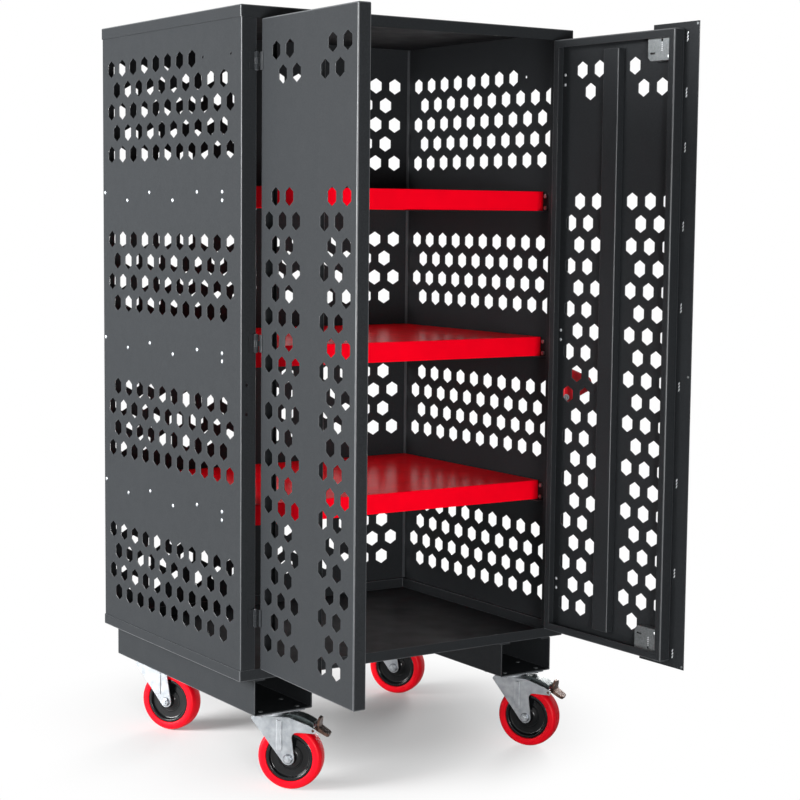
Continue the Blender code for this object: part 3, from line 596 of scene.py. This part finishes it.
# Angle strips up the back corners, between the rim, the shelves and the lid
CORNER_LEG = 0.0060
CORNER_SHEET = 0.0018
CORNER_EDGE = 0.0005
strip_feet = [rim_top + SEAT]
strip_tops = []
for level in LEVELS:
    strip_tops.append(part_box(level + "_shelf_rail_right")[0].z - SEAT)
    strip_feet.append(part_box(level + "_shelf")[1].z + SEAT)
strip_tops.append(back_high.z - SEAT)
strips = []
for side, _ in SIDES:
    for foot, top in zip(strip_feet, strip_tops):
        inner, outer = sorted((side * (wall_in - CORNER_LEG), side * wall_in))
        strip = block("corner_strip", (inner, back_face - CORNER_LEG, foot),
                      (outer, back_face, top))
        coat(strip, "powder_grey")
        inner, outer = sorted((side * (wall_in - 2 * CORNER_LEG), side * (wall_in - CORNER_SHEET)))
        cut(strip, block("strip_inside", (inner, back_face - 2 * CORNER_LEG, foot - TOOL_EXCESS),
                         (outer, back_face - CORNER_SHEET, top + TOOL_EXCESS)))
        strips.append(soften(strip, CORNER_EDGE))
# The strips are painted all over in the lighter fold grey: a painted highlight
corner_strips = paint(joined(strips, "back_corner_strips"), grey_painted_highlight, grey_painted_highlight)
mount(smooth(corner_strips), "cabinet", "powder_grey")

# Folded sheet pieces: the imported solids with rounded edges
SHEET_EDGES = {
    "_door": 0.0005,
    "_shelf": 0.0005,
    "_tray": 0.0005,
    "_stile": 0.0005,
    "_channel": 0.0007,
    "_rail_left": 0.0005,
    "_rail_right": 0.0005,
    "_stiffener": 0.0005,
    "_strip": 0.0006,
    "_leaf": 0.0005,
    "_bolt": 0.0008,
    "_plate": 0.0010,
    "push_grip": 0.0010,
}

# Outer folds: their radius, and the sides where the sheet ends
FOLDS = {
    "_door": (0.0032, ()),
    "top_tray": (0.0026, ("-z",)),
    "base_tray": (0.0026, ("+z",)),
    "_shelf": (0.0022, ("-z",)),
    "_stile": (0.0018, ("-z", "+z", "+y")),
    "_channel": (0.0030, ("-y", "+y")),
    "_stiffener": (0.0022, ("-z", "+z", "-y")),
}

# Pieces that have their own section
MADE_ELSEWHERE = ("_panel", "_hub", "_tyre", "_fork", "_case", "_brake_plate", "_pedal")

# Two bolt holes through the left stile, at the height of the grip's bolts on the right one
STILE_HOLES = (0.7256, 0.6546)
STILE_HOLE_X = 0.4827
STILE_HOLE_RADIUS = 0.0042
STILE_HOLE_START = FRONT - 0.004
STILE_HOLE_LENGTH = 0.01
for node in sorted(nodes):
    if node.endswith(MADE_ELSEWHERE):
        continue
    slot = slot_of[node]
    piece = coat(merged_copy(node, "made_" + node), slot)
    if node == "left_stile":
        places = [(-STILE_HOLE_X, STILE_HOLE_START, BASE_Z + height) for height in STILE_HOLES]
        stile_hole = stud("stile_hole", STILE_HOLE_RADIUS, STILE_HOLE_LENGTH, sides=20)
        cut(piece, set_out(stile_hole, "stile_holes", places, TO_BACK))
    for ending, (radius, sheet_ends) in FOLDS.items():
        if node.endswith(ending):
            swing = door_swings.get(node.split("_door")[0], Matrix())
            piece.data.transform(swing.inverted())
            round_folds(piece, radius, sheet_ends)
            piece.data.transform(swing)
    width = next(edge for ending, edge in SHEET_EDGES.items() if node.endswith(ending))
    smooth(soften(piece, width))
    mount(piece, body_of[node], slot, node)

# Lock cases: chamfered zinc boxes with a key slot, a peg hole, pins and a rivet, drawn on the
# closed door at (x, distance from the door's end). Heads are (radius, height). Cut faces take the
# third material, near black: painted shade inside the key slot and peg hole.
LOCK_FACE = FRONT + 0.0223
LOCK_EDGE = 0.0007
LOCK_CUT = 0.004
CUT_PAINTED_SHADE = 2
KEY_SLOT = (0.090, 0.054)
KEY_SLOT_HALF = (0.008, 0.0018)
PIN_COLUMN = (0.057, 0.029)
PIN_COUNT = 5
PIN_STEP = 0.0047
PIN_HEAD = (0.0014, 0.0009)
PEG_HOLE_RADIUS = 0.0030
PEG_HOLE_PAST_PINS = 0.006
LOCK_RIVET = (0.034, 0.063)
LOCK_RIVET_HEAD = (0.0040, 0.0016)
right_swing = door_swings["right"]
for level, up in (("upper", 1), ("lower", -1)):
    node = level + "_lock_case"
    low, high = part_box(node)
    seat = high.z if up > 0 else low.z
    case = paint(merged_copy(node, "made_" + node), lock_zinc, lock_zinc, slot_painted_shade)
    case.data.transform(right_swing.inverted())
    slot_x, slot_z = KEY_SLOT[0], seat - up * KEY_SLOT[1]
    half_long, half_high = KEY_SLOT_HALF
    key_slot = block("key_slot", (slot_x - half_long, LOCK_FACE - LOCK_CUT, slot_z - half_high),
                     (slot_x + half_long, LOCK_FACE + LOCK_CUT, slot_z + half_high))
    peg_z = seat - up * (PIN_COLUMN[1] - PEG_HOLE_PAST_PINS)
    peg_hole = set_out(stud("peg", PEG_HOLE_RADIUS, 2 * LOCK_CUT, sides=16), "peg_hole",
                       [(PIN_COLUMN[0], LOCK_FACE - LOCK_CUT, peg_z)], TO_BACK)
    for tool in (key_slot, peg_hole):
        paint(tool, lock_zinc, lock_zinc, slot_painted_shade)
        for face in tool.data.polygons:
            face.material_index = CUT_PAINTED_SHADE
        cut(case, tool)
    smooth(soften(case, LOCK_EDGE))
    case.data.transform(right_swing)
    mount(case, "right_door_leaf", "lock_zinc", node)

    rivet = set_out(dome("rivet", *LOCK_RIVET_HEAD), "case_rivet",
                    [(LOCK_RIVET[0], LOCK_FACE, seat - up * LOCK_RIVET[1])], TO_BACK)
    places = [(PIN_COLUMN[0], LOCK_FACE, seat - up * (PIN_COLUMN[1] + PIN_STEP * i))
              for i in range(PIN_COUNT)]
    pins = set_out(dome("pin", *PIN_HEAD), "case_pins", places, TO_BACK)
    heads = paint(joined([rivet, pins], level + "_lock_rivets"), rivet_metal, rivet_metal)
    heads.data.transform(right_swing)
    mount(heads, "right_door_leaf", "zinc")

# Stitch welds on the closing strip beside the door's free edge: three slanted beads each, ground
# low enough to pass the other door
STRIP_SHEET = 0.002
STRIP_FACE = FRONT - 0.0003
FLUSH = 0.0002
WELD_X = -0.0080
WELDS = (1.574, 1.4392, 1.3067, 1.1145, 0.9146, 0.7206, 0.4793, 0.2533, 0.0494)
BEAD_SIZE = (0.0021, 0.0054)
BEAD_SLANT = 0.45
BEAD_STEP = 0.0080
bead = half_ball("bead", segments=12, rings=8)
bead.scale = (*BEAD_SIZE, 2 * FLUSH)
bead.rotation_euler = (-QUARTER_TURN, -BEAD_SLANT, 0.0)
smooth(settle(bead), BEAD_ANGLE)
places = [(WELD_X, STRIP_FACE - FLUSH, BASE_Z + height + BEAD_STEP * i)
          for height in WELDS for i in (-1, 0, 1)]
welds = paint(set_out(bead, "closing_strip_welds", places), weld_metal, weld_metal)
welds.data.transform(right_swing)
mount(welds, "right_door_leaf", "zinc")

# Rivets through the strip's outer edge: flush inside, domed outside
STRIP_RIVETS = ((-0.041, 1.6035), (-0.038, 0.7467), (-0.041, 0.0209))
STRIP_RIVET_RADIUS = 0.0034
STRIP_RIVET_HEIGHT = 0.0014
rivets = []
for depth, direction, height in ((STRIP_FACE, TO_BACK, FLUSH),
                                 (STRIP_FACE - STRIP_SHEET, TO_FRONT, STRIP_RIVET_HEIGHT)):
    places = [(x, depth, BASE_Z + z) for x, z in STRIP_RIVETS]
    rivets.append(set_out(dome("rivet", STRIP_RIVET_RADIUS, height), "strip_rivets", places,
                          direction))
rivets = paint(joined(rivets, "closing_strip_rivets"), lock_zinc, lock_zinc)
rivets.data.transform(right_swing)
mount(rivets, "right_door_leaf", "zinc")

# Rivets of the hinges, on the inner faces of the doors
RIVET_HEAD = (0.0042, 0.0018)
HINGE_RIVET_X = 0.440
HINGE_RIVETS = (0.0100, -0.0150)


def hinge_leaves(name):
    """The boxes of one side's three stile leaves."""
    return [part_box(name + "_" + level + "_hinge_stile_leaf") for level in LEVELS]


for side, name in SIDES:
    places = [(side * HINGE_RIVET_X, FRONT + DOOR_SHEET, (low.z + high.z) / 2 + up)
              for low, high in hinge_leaves(name) for up in HINGE_RIVETS]
    rivets = set_out(dome("rivet", *RIVET_HEAD), name + "_door_hinge_rivets", places, TO_BACK)
    paint(rivets, rivet_metal, rivet_metal)
    rivets.data.transform(door_swings[name])
    mount(rivets, name + "_door_leaf", "zinc")

# Shelf fixings: round zinc heads outside at (depth, upper or lower row), hexagon nuts inside on the
# rails' front ends, below the shelf tops
FIXING_ROWS = ((0.4065, 0.3855), (0.7967, 0.7766), (1.1875, 1.1670))
FIXING_DEPTHS = ((0.0955, 0), (0.0955, 1), (0.227, 0), (0.360, 1), (0.492, 0), (0.624, 1),
                 (0.762, 0))
FIXING_HEAD = (0.0052, 0.0024)
NUT = (0.0062, 0.005)
NUT_EDGE = 0.0006
NUT_DEPTH = 0.0955
NUT_DROPS = (0.0130, 0.0445)
RAIL_SHEET = 0.002
for side, name in SIDES:
    low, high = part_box(name + "_side_panel")
    outer = low.x if side < 0 else high.x
    places = [(outer, FRONT + depth, BASE_Z + rows[row])
              for rows in FIXING_ROWS for depth, row in FIXING_DEPTHS]
    heads = set_out(dome("head", *FIXING_HEAD), "fixing_heads", places, (side, 0, 0))

    rail_low, rail_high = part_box("lower_shelf_rail_" + name)
    rail_face = (rail_low.x + RAIL_SHEET) if side < 0 else (rail_high.x - RAIL_SHEET)
    places = [(rail_face, FRONT + NUT_DEPTH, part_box(level + "_shelf")[1].z - drop)
              for level in LEVELS for drop in NUT_DROPS]
    nut = smooth(soften(coat(stud("nut", *NUT, sides=6), "zinc"), NUT_EDGE))
    nuts = set_out(nut, "fixing_nuts", places, (-side, 0, 0))
    fixings = paint(joined([heads, nuts], name + "_shelf_fixings"), zinc, zinc)
    mount(fixings, "cabinet", "zinc")

# Hinge pins: small caps above and below each knuckle
HINGE_CAP = (0.0040, 0.0022)
for _, name in SIDES:
    pin = Vector(joints[name + "_door_hinge"]["pos_m"])
    leaves = hinge_leaves(name)
    upper_caps = set_out(dome("cap", *HINGE_CAP), "upper_caps",
                         [(pin.x, pin.y, high.z) for _, high in leaves], UP)
    lower_caps = set_out(dome("cap", *HINGE_CAP), "lower_caps",
                         [(pin.x, pin.y, low.z) for low, _ in leaves], DOWN)
    caps = joined([upper_caps, lower_caps], name + "_hinge_pin_caps")
    # The caps take the lighter fold grey: a painted highlight
    mount(paint(caps, grey_painted_highlight, grey_painted_highlight), "cabinet", "powder_grey")

# Grip bolts: button heads on washers, as (radius, height), turned to the front
GRIP_BOLT_X = 0.4800
GRIP_WASHER = (0.0088, 0.0015)
GRIP_WASHER_EDGE = 0.0004
GRIP_HEAD = (0.0062, 0.0050)
GRIP_HEAD_EDGE = 0.0008
GRIP_SOCKET = (0.0033, 0.0060)
GRIP_SOCKET_FOOT = 0.0035
grip_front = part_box("push_grip")[0].y
upper_place, lower_place = [Vector((GRIP_BOLT_X, grip_front, BASE_Z + height))
                            for height in STILE_HOLES]


def on_grip(piece):
    """Set a stub that stands along Z on the upper bolt's place."""
    return set_out(piece, piece.name + "_on_grip", [upper_place], TO_FRONT)


washer = coat(on_grip(stud("washer", *GRIP_WASHER, sides=32)), "zinc")
smooth(soften(washer, GRIP_WASHER_EDGE, segments=1))
head = coat(on_grip(stud("bolt", *GRIP_HEAD, sides=24, foot=GRIP_WASHER[1])), "zinc")
cut(head, on_grip(stud("socket", *GRIP_SOCKET, sides=6, foot=GRIP_SOCKET_FOOT)))
smooth(soften(head, GRIP_HEAD_EDGE))
upper_bolt = joined([washer, head], "grip_bolt")
lower_bolt = copied(upper_bolt, "lower_bolt", Matrix.Translation(lower_place - upper_place))
grip_bolts = joined([upper_bolt, lower_bolt], "grip_bolts")
mount(grip_bolts, "cabinet", "zinc")

# Casters, drawn about the swivel axis with the trail along X, then copied to the four corners
CASTERS = ("front_left", "front_right", "rear_left", "rear_right")
CASTER_KINDS = ("front", "rear")


def caster_place(caster):
    swivel = joints[caster + "_swivel"]["pos_m"]
    axle = joints[caster + "_roll"]["axis"]
    yaw = math.atan2(-axle[0], axle[1])
    return Matrix.Translation((swivel[0], swivel[1], 0)) @ Matrix.Rotation(yaw, 4, "Z")


first_place = caster_place("front_left")
axle_point = first_place.inverted() @ Vector(joints["front_left_roll"]["pos_m"])
TRAIL = axle_point.x
AXLE_Z = axle_point.z
WHEEL_STEPS = 96

# Tyre, as (radius, distance from the middle): flat sides with a bead at the rim and a full rounded
# tread that rests on the floor
TYRE_HALF = 0.0249
TYRE_SIDE = 0.0690
TREAD_STEPS = 12
TREAD_ROUNDING = (0.7, 0.6)
half_tyre = [(0.0607, 0.0), (0.0607, 0.0216), (0.0618, 0.0236), (0.0640, 0.0244)]
for i in range(TREAD_STEPS):
    turn = math.radians(90.0 * i / TREAD_STEPS)
    half_tyre.append((TYRE_SIDE + (AXLE_Z - TYRE_SIDE) * math.sin(turn) ** TREAD_ROUNDING[0],
                      TYRE_HALF * math.cos(turn) ** TREAD_ROUNDING[1]))
tyre_profile = half_tyre + [(AXLE_Z, 0.0)] + [(r, -y) for r, y in reversed(half_tyre[1:])]
tyre = coat(turned("tyre", tyre_profile, WHEEL_STEPS), "tyre_red")

# Hub: dished web between a stepped rim and a long boss
half_hub = [
    (0.0064, 0.0), (0.0064, 0.0285), (0.0070, 0.0290), (0.0140, 0.0290), (0.0152, 0.0282),
    (0.0160, 0.0210), (0.0185, 0.0168), (0.0215, 0.0150), (0.0285, 0.0140), (0.0298, 0.0152),
    (0.0318, 0.0152), (0.0330, 0.0138), (0.0470, 0.0132), (0.0498, 0.0145), (0.0518, 0.0190),
    (0.0530, 0.0214), (0.0546, 0.0222), (0.0586, 0.0222), (0.0598, 0.0216), (0.0602, 0.0204),
    (0.0602, 0.0),
]
hub_profile = half_hub + [(r, -y) for r, y in reversed(half_hub[1:-1])]
hub = coat(turned("hub", hub_profile, WHEEL_STEPS), "hub_black")

# Forks: rounded shoulders where the legs leave the crown, a pressed rib down each leg, and the
# axle's washers and ends
FORK_HALF = 0.034
FORK_EDGE = 0.0008
FORK_EDGE_ANGLE = 32.0
SHOULDER_RADIUS = 0.0035
RIB_RELIEF = 0.0026
RIB_SINK = 0.0010
RIB_FROM_AXLE = (-0.030, -0.016)
RIB_OVER_AXLE = (0.020, 0.097)
RIB_EDGE = 0.0016
AXLE_WASHER = (0.0125, 0.0014)
AXLE_WASHER_EDGE = 0.0004
AXLE_END = (0.0048, 0.0030)
AXLE_END_EDGE = 0.0008
AXLE_REACH = 0.006
forks = {}
for kind in CASTER_KINDS:
    fork = coat(merged_copy(kind + "_left_caster_fork", kind + "_fork"), "zinc")
    fork.data.transform(caster_place(kind + "_left").inverted())
    top = max(vertex.co.z for vertex in fork.data.vertices)
    on_chosen(
        fork, "EDGE",
        lambda edge: all(near(end.z, top) and near(abs(end.y), FORK_HALF)
                         for end in edge_ends(fork, edge)),
        lambda: bpy.ops.mesh.bevel(offset=SHOULDER_RADIUS, segments=4, affect="EDGES"),
    )
    soften(fork, FORK_EDGE, angle=FORK_EDGE_ANGLE)
    fittings = []
    for side, _ in SIDES:
        face = side * FORK_HALF
        inner, outer = sorted((face - side * RIB_SINK, face + side * RIB_RELIEF))
        rib = block("rib", (TRAIL + RIB_FROM_AXLE[0], inner, AXLE_Z + RIB_OVER_AXLE[0]),
                    (TRAIL + RIB_FROM_AXLE[1], outer, AXLE_Z + RIB_OVER_AXLE[1]))
        fittings.append(soften(coat(rib, "zinc"), RIB_EDGE, segments=3))
        washer = paint(stud("washer", *AXLE_WASHER, sides=32), dark_zinc, dark_zinc)
        soften(washer, AXLE_WASHER_EDGE, segments=1)
        fittings.append(set_out(washer, "axle_washer", [(TRAIL, face, AXLE_Z)], (0, side, 0)))
        end = soften(coat(stud("end", *AXLE_END, sides=20), "zinc"), AXLE_END_EDGE)
        end_place = (TRAIL, face + side * AXLE_REACH, AXLE_Z)
        fittings.append(set_out(end, "axle_end", [end_place], (0, side, 0)))
    forks[kind] = (smooth(fork), smooth(joined(fittings, kind + "_fork_ribs")))

# Plate bolts: nuts under the plate's corners, round heads in the channel, thread ends under the
# rear ones
PLATE_THICKNESS = 0.005
PLATE_GAP = 0.0003
CHANNEL_SHEET = 0.003
PLATE_BOLTS = [(x, y) for x in (-0.0525, 0.0525) for y in (-0.040, 0.040)]
PLATE_NUT = (0.0080, 0.0050)
PLATE_NUT_EDGE = 0.0009
PLATE_HEAD = (0.0065, 0.0026)
THREAD_END = (0.0045, 0.0035)
THREAD_EDGE = 0.0008
plate_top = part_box("front_left_caster_plate")[1].z
plate_under = plate_top - PLATE_THICKNESS
web_top = plate_top + PLATE_GAP + CHANNEL_SHEET
plate_bolts = {}
for kind in CASTER_KINDS:
    nut = soften(coat(stud("nut", *PLATE_NUT, sides=6), "zinc"), PLATE_NUT_EDGE)
    nuts = set_out(nut, "plate_nuts", [(x, y, plate_under) for x, y in PLATE_BOLTS], DOWN)
    head = paint(dome("head", *PLATE_HEAD), lock_zinc, lock_zinc)
    heads = set_out(head, "plate_heads", [(x, y, web_top) for x, y in PLATE_BOLTS], UP)
    parts = [nuts, heads]
    if kind == "rear":
        end = soften(coat(stud("thread", *THREAD_END, sides=20), "zinc"), THREAD_EDGE)
        places = [(x, y, plate_under - PLATE_NUT[1]) for x, y in PLATE_BOLTS]
        parts.append(set_out(end, "thread_ends", places, DOWN))
    plate_bolts[kind] = smooth(joined(parts, kind + "_plate_bolts"))

# Brake plates: the strap's sides turned down behind the crown, and a rivet
BRAKE_HALF = 0.020
SKIRT_SHEET = 0.0025
SKIRT_START = 0.057
SKIRT_DROP = 0.0095
LOOKS_DOWN = -0.5
BRAKE_EDGE = 0.0008
BRAKE_RIVET = (0.0515, -0.012)
skirt_y = BRAKE_HALF - SKIRT_SHEET
strap = coat(merged_copy("front_left_caster_brake_plate", "brake_strap"), "brake_dark")
strap.data.transform(first_place.inverted())
for place, normal in (((0, skirt_y, 0), TO_BACK), ((0, -skirt_y, 0), TO_BACK),
                      ((SKIRT_START, 0, 0), TO_RIGHT)):
    in_edit(strap, lambda: bpy.ops.mesh.bisect(plane_co=place, plane_no=normal))
on_chosen(
    strap, "FACE",
    lambda face: (face.normal.z < LOOKS_DOWN and abs(face.center.y) > skirt_y
                  and face.center.x > SKIRT_START),
    lambda: bpy.ops.mesh.extrude_region_move(
        TRANSFORM_OT_translate={"value": (0, 0, -SKIRT_DROP)}),
)
smooth(soften(strap, BRAKE_EDGE))
brake_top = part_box("front_left_caster_brake_plate")[1].z
brake_rivet = set_out(dome("rivet", *RIVET_HEAD), "brake_rivet", [(*BRAKE_RIVET, brake_top)], UP)
# The rivet takes the lighter zinc: a painted highlight
paint(brake_rivet, zinc_painted_highlight, zinc_painted_highlight)

# Brake pedals: lobes with rounded corners; the corners' edges are known by their length
PEDAL_HALF = 0.018
PEDAL_EDGE = 0.0012
TIP_EDGE = (0.0058, 0.0072)
TIP_RADIUS = 0.010
TIP_MERGE = 0.00005
pedal = coat(merged_copy("front_left_caster_brake_pedal", "brake_pedal"), "brake_bronze")
pedal.data.transform(first_place.inverted())


def tip_corner(edge):
    one, other = edge_ends(pedal, edge)
    on_side = near(abs(one.y), PEDAL_HALF) and near(abs(other.y), PEDAL_HALF)
    return on_side and TIP_EDGE[0] < (other - one).length < TIP_EDGE[1]


on_chosen(pedal, "EDGE", tip_corner,
          lambda: bpy.ops.mesh.bevel(offset=TIP_RADIUS, segments=6, affect="EDGES"))
in_edit(pedal, lambda: bpy.ops.mesh.remove_doubles(threshold=TIP_MERGE))
smooth(soften(pedal, PEDAL_EDGE))

for caster in CASTERS:
    place = caster_place(caster)
    kind = caster.split("_")[0]
    title = caster + "_caster_"
    spin = place @ Matrix.Translation((TRAIL, 0, AXLE_Z))
    mount(copied(tyre, "made_" + title + "tyre", spin), caster + "_wheel", "tyre_red",
          title + "tyre")
    mount(copied(hub, "made_" + title + "hub", spin), caster + "_wheel", "hub_black",
          title + "hub")
    fork, fittings = forks[kind]
    mount(copied(fork, "made_" + title + "fork", place), caster + "_fork", "zinc", title + "fork")
    mount(copied(fittings, title + "fork_ribs", place), caster + "_fork", "zinc")
    swivel = joints[caster + "_swivel"]["pos_m"]
    square = Matrix.Translation((swivel[0], swivel[1], 0))
    mount(copied(plate_bolts[kind], title + "plate_bolts", square), "cabinet", "zinc")
    if kind == "front":
        mount(copied(strap, "made_" + title + "brake_plate", place), caster + "_fork",
              "brake_dark", title + "brake_plate")
        mount(copied(brake_rivet, title + "brake_rivet", place), caster + "_fork", "zinc")
        mount(copied(pedal, "made_" + title + "brake_pedal", place), caster + "_pedal",
              "brake_bronze", title + "brake_pedal")

for pattern in (tyre, hub, strap, brake_rivet, pedal, *plate_bolts.values(), *forks["front"],
                *forks["rear"]):
    bpy.data.objects.remove(pattern, do_unlink=True)

# Stage: a pale floor that fades to white away from the cabinet
FLOOR_RADIUS = 14.0
FLOOR_GREY = 0.60
FADE_WIDTH = 0.72
FADE_DEPTH = 0.66
FADE_CENTRE = 0.15
FADE_START = 0.50
FADE_END = 1.35
FADE_LEAST = 0.14
bpy.ops.mesh.primitive_circle_add(vertices=96, radius=FLOOR_RADIUS, fill_type="NGON",
                                  location=(0, 0, 0))
floor = bpy.context.active_object
floor.name = "pale_floor"
floor_paint, tree, shader = new_finish("pale_floor_paint", (FLOOR_GREY,) * 3, roughness=0.6,
                                       specular=0.2)
light_path = tree.nodes.new("ShaderNodeLightPath")
place = tree.nodes.new("ShaderNodeTexCoord")
around = tree.nodes.new("ShaderNodeMapping")
around.inputs["Location"].default_value = (0.0, -FADE_CENTRE / FADE_DEPTH, 0.0)
around.inputs["Scale"].default_value = (1 / FADE_WIDTH, 1 / FADE_DEPTH, 0.0)
tree.links.new(place.outputs["Object"], around.inputs["Vector"])
distance = tree.nodes.new("ShaderNodeVectorMath")
distance.operation = "LENGTH"
tree.links.new(around.outputs["Vector"], distance.inputs[0])
fade = tree.nodes.new("ShaderNodeMapRange")
fade.interpolation_type = "SMOOTHSTEP"
fade.inputs["From Min"].default_value = FADE_START
fade.inputs["From Max"].default_value = FADE_END
fade.inputs["To Min"].default_value = FADE_LEAST
tree.links.new(distance.outputs["Value"], fade.inputs["Value"])
seen = tree.nodes.new("ShaderNodeMath")
seen.operation = "MULTIPLY"
tree.links.new(fade.outputs["Result"], seen.inputs[0])
tree.links.new(light_path.outputs["Is Camera Ray"], seen.inputs[1])
white = tree.nodes.new("ShaderNodeEmission")
blend = tree.nodes.new("ShaderNodeMixShader")
tree.links.new(seen.outputs["Value"], blend.inputs["Fac"])
tree.links.new(shader.outputs["BSDF"], blend.inputs[1])
tree.links.new(white.outputs["Emission"], blend.inputs[2])
tree.links.new(blend.outputs["Shader"], tree.nodes["Material Output"].inputs["Surface"])
floor.data.materials.append(floor_paint)

# World: white to the camera and in reflections, soft ambient light otherwise
AMBIENT = 0.04
world = bpy.data.worlds.new("studio")
bpy.context.scene.world = world
world.use_nodes = True
tree = world.node_tree
ambient = tree.nodes["Background"]
ambient.inputs["Color"].default_value = (1.0, 1.0, 1.0, 1.0)
ambient.inputs["Strength"].default_value = AMBIENT
backdrop = tree.nodes.new("ShaderNodeBackground")
backdrop.inputs["Color"].default_value = (1.0, 1.0, 1.0, 1.0)
backdrop.inputs["Strength"].default_value = 1.0
light_path = tree.nodes.new("ShaderNodeLightPath")
shown = light_path.outputs["Is Camera Ray"]
for ray in ("Is Glossy Ray", "Is Transmission Ray"):
    either = tree.nodes.new("ShaderNodeMath")
    either.operation = "MAXIMUM"
    tree.links.new(shown, either.inputs[0])
    tree.links.new(light_path.outputs[ray], either.inputs[1])
    shown = either.outputs["Value"]
pick_light = tree.nodes.new("ShaderNodeMixShader")
tree.links.new(shown, pick_light.inputs["Fac"])
tree.links.new(ambient.outputs["Background"], pick_light.inputs[1])
tree.links.new(backdrop.outputs["Background"], pick_light.inputs[2])
tree.links.new(pick_light.outputs["Shader"], tree.nodes["World Output"].inputs["Surface"])


def soft_lamp(name, place, aim, size, power):
    """A round lamp turned towards a point."""
    data = bpy.data.lights.new(name, "AREA")
    data.shape = "DISK"
    data.size = size
    data.energy = power
    lamp = bpy.data.objects.new(name, data)
    bpy.context.scene.collection.objects.link(lamp)
    lamp.location = place
    lamp.rotation_euler = (Vector(aim) - Vector(place)).to_track_quat("-Z", "Y").to_euler()


soft_lamp("left_key", place=(-4.6, 0.9, 1.95), aim=(-0.2, 0.0, 0.9), size=2.8, power=700.0)
soft_lamp("front_fill", place=(-2.05, -5.48, 0.85), aim=(0.1, -0.3, 1.0), size=1.2, power=240.0)
soft_lamp("right_back_fill", place=(4.3, 3.3, 0.95), aim=(0.2, 0.2, 1.0), size=1.8, power=240.0)

# Camera, at the photograph's place
CAMERA_PLACE = Vector((-2.6546, -4.3072, 1.4325))
CAMERA_AIM = Vector((0.2201, 0.0011, 0.9175))
CAMERA_ROLL = math.radians(0.591)
CAMERA_LENS = 84.094
CAMERA_SENSOR = 36.0
CAMERA_REACH = 100.0
camera_data = bpy.data.cameras.new("camera")
camera_data.lens = CAMERA_LENS
camera_data.sensor_width = CAMERA_SENSOR
camera_data.clip_end = CAMERA_REACH
camera = bpy.data.objects.new("camera", camera_data)
bpy.context.scene.collection.objects.link(camera)
ahead = (CAMERA_AIM - CAMERA_PLACE).to_track_quat("-Z", "Y").to_matrix().to_4x4()
roll = Matrix.Rotation(CAMERA_ROLL, 4, "Z")
camera.matrix_world = Matrix.Translation(CAMERA_PLACE) @ ahead @ roll
bpy.context.scene.camera = camera
bpy.context.scene.view_settings.view_transform = "Standard"

bpy.ops.object.select_all(action="DESELECT")
